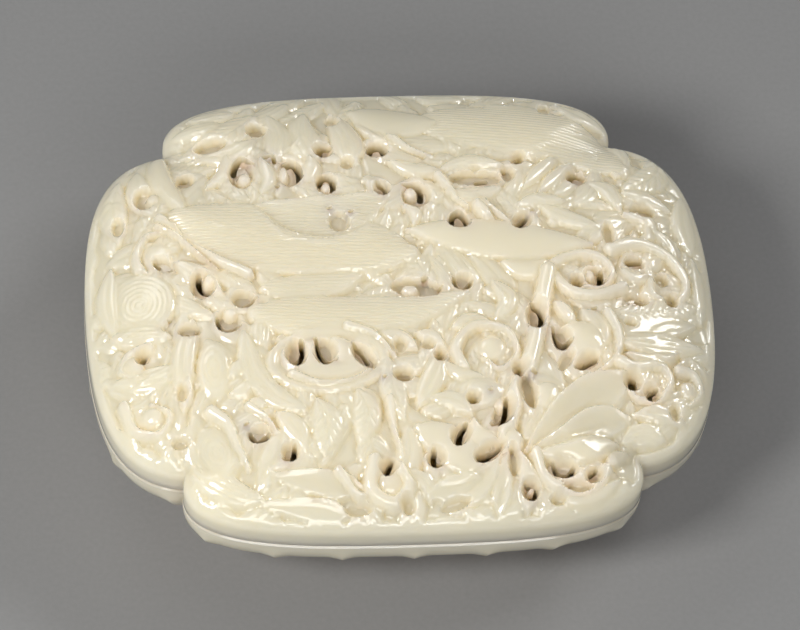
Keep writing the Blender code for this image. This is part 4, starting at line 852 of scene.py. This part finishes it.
def make_lid(material):
    rim = outline(0.0)
    count = len(rim)
    loops = [stretch(slot_loop(*slot)) for slot in piercings()]
    corners = net_corners(rim, loops)
    top_xy = np.vstack([rim] + loops + [corners])
    top_z, relief = lid_face(top_xy[:, 0], top_xy[:, 1], rim)
    top_z[:count] = 0.0
    top_z = np.minimum(top_z, LID_TOP - RIM_Z)
    vertices = [(x, y, RIM_Z + z) for (x, y), z in zip(top_xy, top_z)]
    # The carving's depth below the dome sets its painted shade; the side takes none.
    depth = list(relief * 1000)
    faces = list(sheet_mesh(rim, loops, corners))

    # The side: outer band down to the seam with a softened lower edge, and the inside of the wall.
    side = [(0.0, RIM_Z - 0.35 * LID_SIDE), (0.0, RIM_Z - 0.7 * LID_SIDE), (0.0, SEAM_Z + ROUND_OFF),
            (0.3 * ROUND_OFF, SEAM_Z + 0.3 * ROUND_OFF), (ROUND_OFF, SEAM_Z),
            (LID_WALL - ROUND_OFF, SEAM_Z), (LID_WALL, SEAM_Z + ROUND_OFF)]
    upper = 0
    for inset, z in side:
        lower = len(vertices)
        vertices += [(x, y, z) for x, y in outline(inset)]
        depth += [0.0] * count
        band(faces, lower, upper, count)
        upper = lower

    inner = outline(LID_WALL)
    spaced = np.arange(-HALF_LENGTH, HALF_LENGTH, UNDER_STEP)
    gx, gy = (g.ravel() for g in np.meshgrid(spaced, spaced))
    good = edge_distance(inner[::4], gx, gy) > 0.002
    for loop in loops:
        good &= edge_distance(loop, gx, gy) < -0.0008
    under_inner = np.column_stack([gx[good], gy[good]])
    under_xy = np.vstack([inner] + loops + [under_inner])
    under_z = dome(edge_distance(rim, under_xy[:, 0], under_xy[:, 1])) - LID_THICKNESS
    under = len(vertices)
    vertices += [(x, y, RIM_Z + z) for (x, y), z in zip(under_xy, under_z)]
    # The underside of the lid takes painted shade through this depth.
    depth += [UNDER_LID_SHADE_DEPTH] * len(under_xy)
    faces += [tuple(under + i for i in reversed(face)) for face in sheet_mesh(inner, loops, under_inner)]
    band(faces, under, upper, count)
    top_start, under_start = count, under + count
    for loop in loops:
        band(faces, top_start, under_start, len(loop))
        top_start += len(loop)
        under_start += len(loop)
    return new_piece("lid_carved", vertices, faces, depth, material)


def flank_inset(height):
    """How far the bowl's outside stands in from the rim, at a height above the ground."""
    start = BASE_HEIGHT - BASE_BAND
    share = (start - height) / (start - FOOT_HEIGHT)
    return FOOT_INSET * max(share, 0.0) ** BOWL_CURVE


def ridges(loop):
    """Share of a ridge's rise at the corners of a loop. The ridges stand where the solid has them."""
    steps = np.hypot(*(np.roll(loop, -1, axis=0) - loop).T)
    along = np.concatenate([[0.0], np.cumsum(steps)[:-1]])
    along -= along[np.argmin(loop[:, 1])]
    total = np.sum(steps)
    number = 4 * round(total / RIDGE_PITCH / 4)
    coarse = along[::SOLID_STEP]
    share = np.zeros(len(loop))
    for k in range(number):
        away = coarse - k * total / number
        away -= total * np.round(away / total)
        middle = coarse[np.argmin(np.abs(away))]
        distance = np.abs(along - middle - total * np.round((along - middle) / total))
        share = np.maximum(share, np.maximum(1 - distance / RIDGE_HALF, 0) ** 1.4)
    return share


def ridge_rise(level):
    """How far a ridge stands out, at a level that runs from 0 at the band to 1 at the foot."""
    return RIDGE_RISE * math.sin(math.pi * min(max(level, 0.0), 1.0)) ** 0.5


def outward(loop):
    ahead = np.roll(loop, -1, axis=0) - np.roll(loop, 1, axis=0)
    normal = np.column_stack([ahead[:, 1], -ahead[:, 0]])
    return normal / np.hypot(*normal.T)[:, None]


def make_base(material):
    rim = outline(0.0)
    count = len(rim)
    rings = [(outline(0.0), BASE_HEIGHT - ROUND_OFF), (outline(0.0), BASE_HEIGHT - BASE_BAND)]
    on_ridge = ridges(rim)
    for i in range(1, BOWL_ROWS + 1):
        level = i / BOWL_ROWS
        height = BASE_HEIGHT - BASE_BAND - level * (BASE_HEIGHT - BASE_BAND - FOOT_HEIGHT)
        inset = flank_inset(height)
        loop = outline(inset)
        rings.append((loop + outward(loop) * min(ridge_rise(level), inset) * on_ridge[:, None], height))
    rings.append((outline(FOOT_INSET), ROUND_OFF))
    rings.append((outline(FOOT_INSET + ROUND_OFF), 0.0))
    rings.append((outline(FOOT_INSET + FOOT_WIDTH), 0.0))
    rings.append((outline(FOOT_INSET + FOOT_WIDTH), FOOT_RECESS))
    inside = LID_WALL + GAP
    cavity = inside + FLANGE_WIDTH
    floor_z = FOOT_RECESS + FLOOR_THICKNESS
    mouth = [(outline(ROUND_OFF), BASE_HEIGHT), (outline(inside), BASE_HEIGHT),
             (outline(inside), FLANGE_TOP - ROUND_OFF), (outline(inside + ROUND_OFF), FLANGE_TOP),
             (outline(cavity - ROUND_OFF), FLANGE_TOP), (outline(cavity), FLANGE_TOP - ROUND_OFF)]
    for i in range(1, CAVITY_ROWS + 1):
        height = BASE_HEIGHT - (BASE_HEIGHT - floor_z) * i / CAVITY_ROWS
        mouth.append((outline(max(cavity, flank_inset(height) + BASE_WALL)), height))

    vertices, faces = [], []
    for loop, height in rings + mouth:
        vertices += [(x, y, height) for x, y in loop]
    for i in range(len(rings) - 1):
        band(faces, (i + 1) * count, i * count, count)
    first = len(rings) * count
    band(faces, 0, first, count)
    for i in range(len(mouth) - 1):
        band(faces, first + i * count, first + (i + 1) * count, count)
    faces.append(tuple(range(first - count, first)))
    faces.append(tuple(range(len(vertices) - count, len(vertices))))
    # The bowl's hollow takes painted shade through this depth; its outside takes none.
    depth = [0.0] * first + [CAVITY_SHADE_DEPTH] * (len(vertices) - first)
    return new_piece("base_carved", vertices, faces, depth, material)


SUBSURFACE_RADIUS = (0.0130, 0.0122, 0.0105)
ROUGHNESS = 0.10
REFRACTION = 1.6
DRIFT_SCALE = 32.0           # the slow drift of the stone's colour, and its share
DRIFT_SHARE = 0.35
# Painted shade: the stone's colour darkens with depth below the dome, between these two heights.
SHADE_START = 0.2            # the colour deepens between these heights over the dome, in millimetres
SHADE_END = -3.0


def jade(name, light, shaded):
    """Polished translucent jade: its colour drifts a little over the piece, and painted shade darkens it in
    the cuts, under the lid and inside the bowl.
    """
    material = bpy.data.materials.new(name)
    material.use_nodes = True
    nodes, links = material.node_tree.nodes, material.node_tree.links
    shader = nodes["Principled BSDF"]
    place = nodes.new("ShaderNodeTexCoord")

    drift = nodes.new("ShaderNodeTexNoise")
    drift.inputs["Scale"].default_value = DRIFT_SCALE
    drift.inputs["Detail"].default_value = 3.0
    links.new(place.outputs["Object"], drift.inputs["Vector"])

    # The depth attribute sets how much painted shade the colour takes.
    depth = nodes.new("ShaderNodeAttribute")
    depth.attribute_name = "depth"
    shade_share = nodes.new("ShaderNodeMapRange")
    shade_share.inputs["From Min"].default_value = SHADE_START
    shade_share.inputs["From Max"].default_value = SHADE_END
    links.new(depth.outputs["Fac"], shade_share.inputs["Value"])
    drift_and_shade = nodes.new("ShaderNodeMath")
    drift_and_shade.operation = "MULTIPLY_ADD"
    drift_and_shade.inputs[1].default_value = DRIFT_SHARE
    links.new(drift.outputs["Fac"], drift_and_shade.inputs[0])
    links.new(shade_share.outputs["Result"], drift_and_shade.inputs[2])
    # Mix of the stone's own colour and its painted shade colour.
    colour = nodes.new("ShaderNodeMix")
    colour.data_type = "RGBA"
    colour.inputs["A"].default_value = (*light, 1.0)
    colour.inputs["B"].default_value = (*shaded, 1.0)
    links.new(drift_and_shade.outputs["Value"], colour.inputs["Factor"])
    links.new(colour.outputs["Result"], shader.inputs["Base Color"])

    shader.inputs["Roughness"].default_value = ROUGHNESS
    shader.inputs["IOR"].default_value = REFRACTION
    shader.inputs["Subsurface Weight"].default_value = 1.0
    shader.inputs["Subsurface Radius"].default_value = SUBSURFACE_RADIUS
    shader.inputs["Subsurface Scale"].default_value = 1.0
    return material


FLOOR_HALF = 1.6
FLOOR_ROUGHNESS = 0.9
FLOOR_TONES = (0.215, 0.245)
GRAIN_SCALE = 900.0


def make_floor():
    mesh = bpy.data.meshes.new("floor")
    shape = bmesh.new()
    bmesh.ops.create_grid(shape, x_segments=2, y_segments=2, size=FLOOR_HALF)
    shape.to_mesh(mesh)
    shape.free()
    material = bpy.data.materials.new("floor grey")
    material.use_nodes = True
    nodes, links = material.node_tree.nodes, material.node_tree.links
    shader = nodes["Principled BSDF"]
    shader.inputs["Roughness"].default_value = FLOOR_ROUGHNESS
    grain = nodes.new("ShaderNodeTexNoise")
    grain.inputs["Scale"].default_value = GRAIN_SCALE
    place = nodes.new("ShaderNodeTexCoord")
    links.new(place.outputs["Object"], grain.inputs["Vector"])
    tone = nodes.new("ShaderNodeMapRange")
    tone.inputs["To Min"].default_value = FLOOR_TONES[0]
    tone.inputs["To Max"].default_value = FLOOR_TONES[1]
    links.new(grain.outputs["Fac"], tone.inputs["Value"])
    links.new(tone.outputs["Result"], shader.inputs["Base Color"])
    mesh.materials.append(material)
    floor = bpy.data.objects.new("floor", mesh)
    bpy.context.collection.objects.link(floor)


CAMERA_AZIMUTH = -9.5        # the photo looks down at the box from the front, a little from the left
CAMERA_ELEVATION = 57.0
CAMERA_ROLL = -6.5
CAMERA_DISTANCE = 1.5
IMAGE_WIDTH = 800
PIXELS_PER_METRE = 4490      # in the plane of the rim edge, at the photo's size
AIM = Vector((0.0, 0.0011, RIM_Z))
AIM_PIXEL = (399.6, 305.5)   # where that point shows in the photo
IMAGE_MIDDLE = (400, 315)


def make_camera():
    a, e, r = (math.radians(v) for v in (CAMERA_AZIMUTH, CAMERA_ELEVATION, CAMERA_ROLL))
    back = Vector((math.sin(a) * math.cos(e), -math.cos(a) * math.cos(e), math.sin(e)))
    right = Vector((math.cos(a), math.sin(a), 0.0))
    up = back.cross(right)
    right, up = math.cos(r) * right - math.sin(r) * up, math.sin(r) * right + math.cos(r) * up
    data = bpy.data.cameras.new("camera")
    data.sensor_width = 36.0
    data.lens = PIXELS_PER_METRE * CAMERA_DISTANCE * data.sensor_width / IMAGE_WIDTH
    data.shift_x = (IMAGE_MIDDLE[0] - AIM_PIXEL[0]) / IMAGE_WIDTH
    data.shift_y = -(IMAGE_MIDDLE[1] - AIM_PIXEL[1]) / IMAGE_WIDTH
    camera = bpy.data.objects.new("camera", data)
    turn = Matrix([right, up, back]).transposed()
    bpy.context.collection.objects.link(camera)
    camera.matrix_world = Matrix.Translation(AIM + CAMERA_DISTANCE * back) @ turn.to_4x4()
    bpy.context.scene.camera = camera


def area_light(name, azimuth, elevation, distance, size, power, colour=(1.0, 1.0, 1.0)):
    """A soft box that faces the object. Azimuth 0 is the front and 90 the right, in degrees."""
    a, e = math.radians(azimuth), math.radians(elevation)
    towards = Vector((math.sin(a) * math.cos(e), -math.cos(a) * math.cos(e), math.sin(e)))
    data = bpy.data.lights.new(name, "AREA")
    data.shape = "RECTANGLE"
    data.size, data.size_y = size
    data.energy = power
    data.color = colour
    light = bpy.data.objects.new(name, data)
    light.location = Vector((0.0, 0.0, RIM_Z)) + distance * towards
    light.rotation_mode = "QUATERNION"
    light.rotation_quaternion = towards.to_track_quat("Z", "Y")
    bpy.context.collection.objects.link(light)


def make_lights():
    area_light("key", -60, 42, 0.8, (0.24, 0.24), 4.7, (1.0, 0.99, 0.96))
    area_light("right", 118, 40, 0.9, (0.4, 0.2), 3.0)
    area_light("back left", -150, 46, 0.9, (0.5, 0.2), 0.9)
    area_light("front", -5, 34, 1.0, (0.8, 0.3), 3.6)
    world = bpy.data.worlds.new("studio")
    bpy.context.scene.world = world
    world.use_nodes = True
    world.node_tree.nodes["Background"].inputs["Color"].default_value = (0.95, 0.98, 1.0, 1.0)
    world.node_tree.nodes["Background"].inputs["Strength"].default_value = 0.07
    bpy.context.scene.view_settings.view_transform = "Standard"


def main():
    # Each stone has its own colour and a darker, warmer colour for the painted shade in its cuts and hollows.
    stone = jade("lid jade", (0.955, 0.78, 0.585), (0.93, 0.73, 0.50))
    lid = make_lid(stone)
    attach(lid, "root")
    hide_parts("lid")
    stone = jade("base jade", (0.955, 0.775, 0.57), (0.95, 0.755, 0.535))
    base = make_base(stone)
    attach(base, "root")
    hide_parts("base")
    make_floor()
    make_camera()
    make_lights()


main()
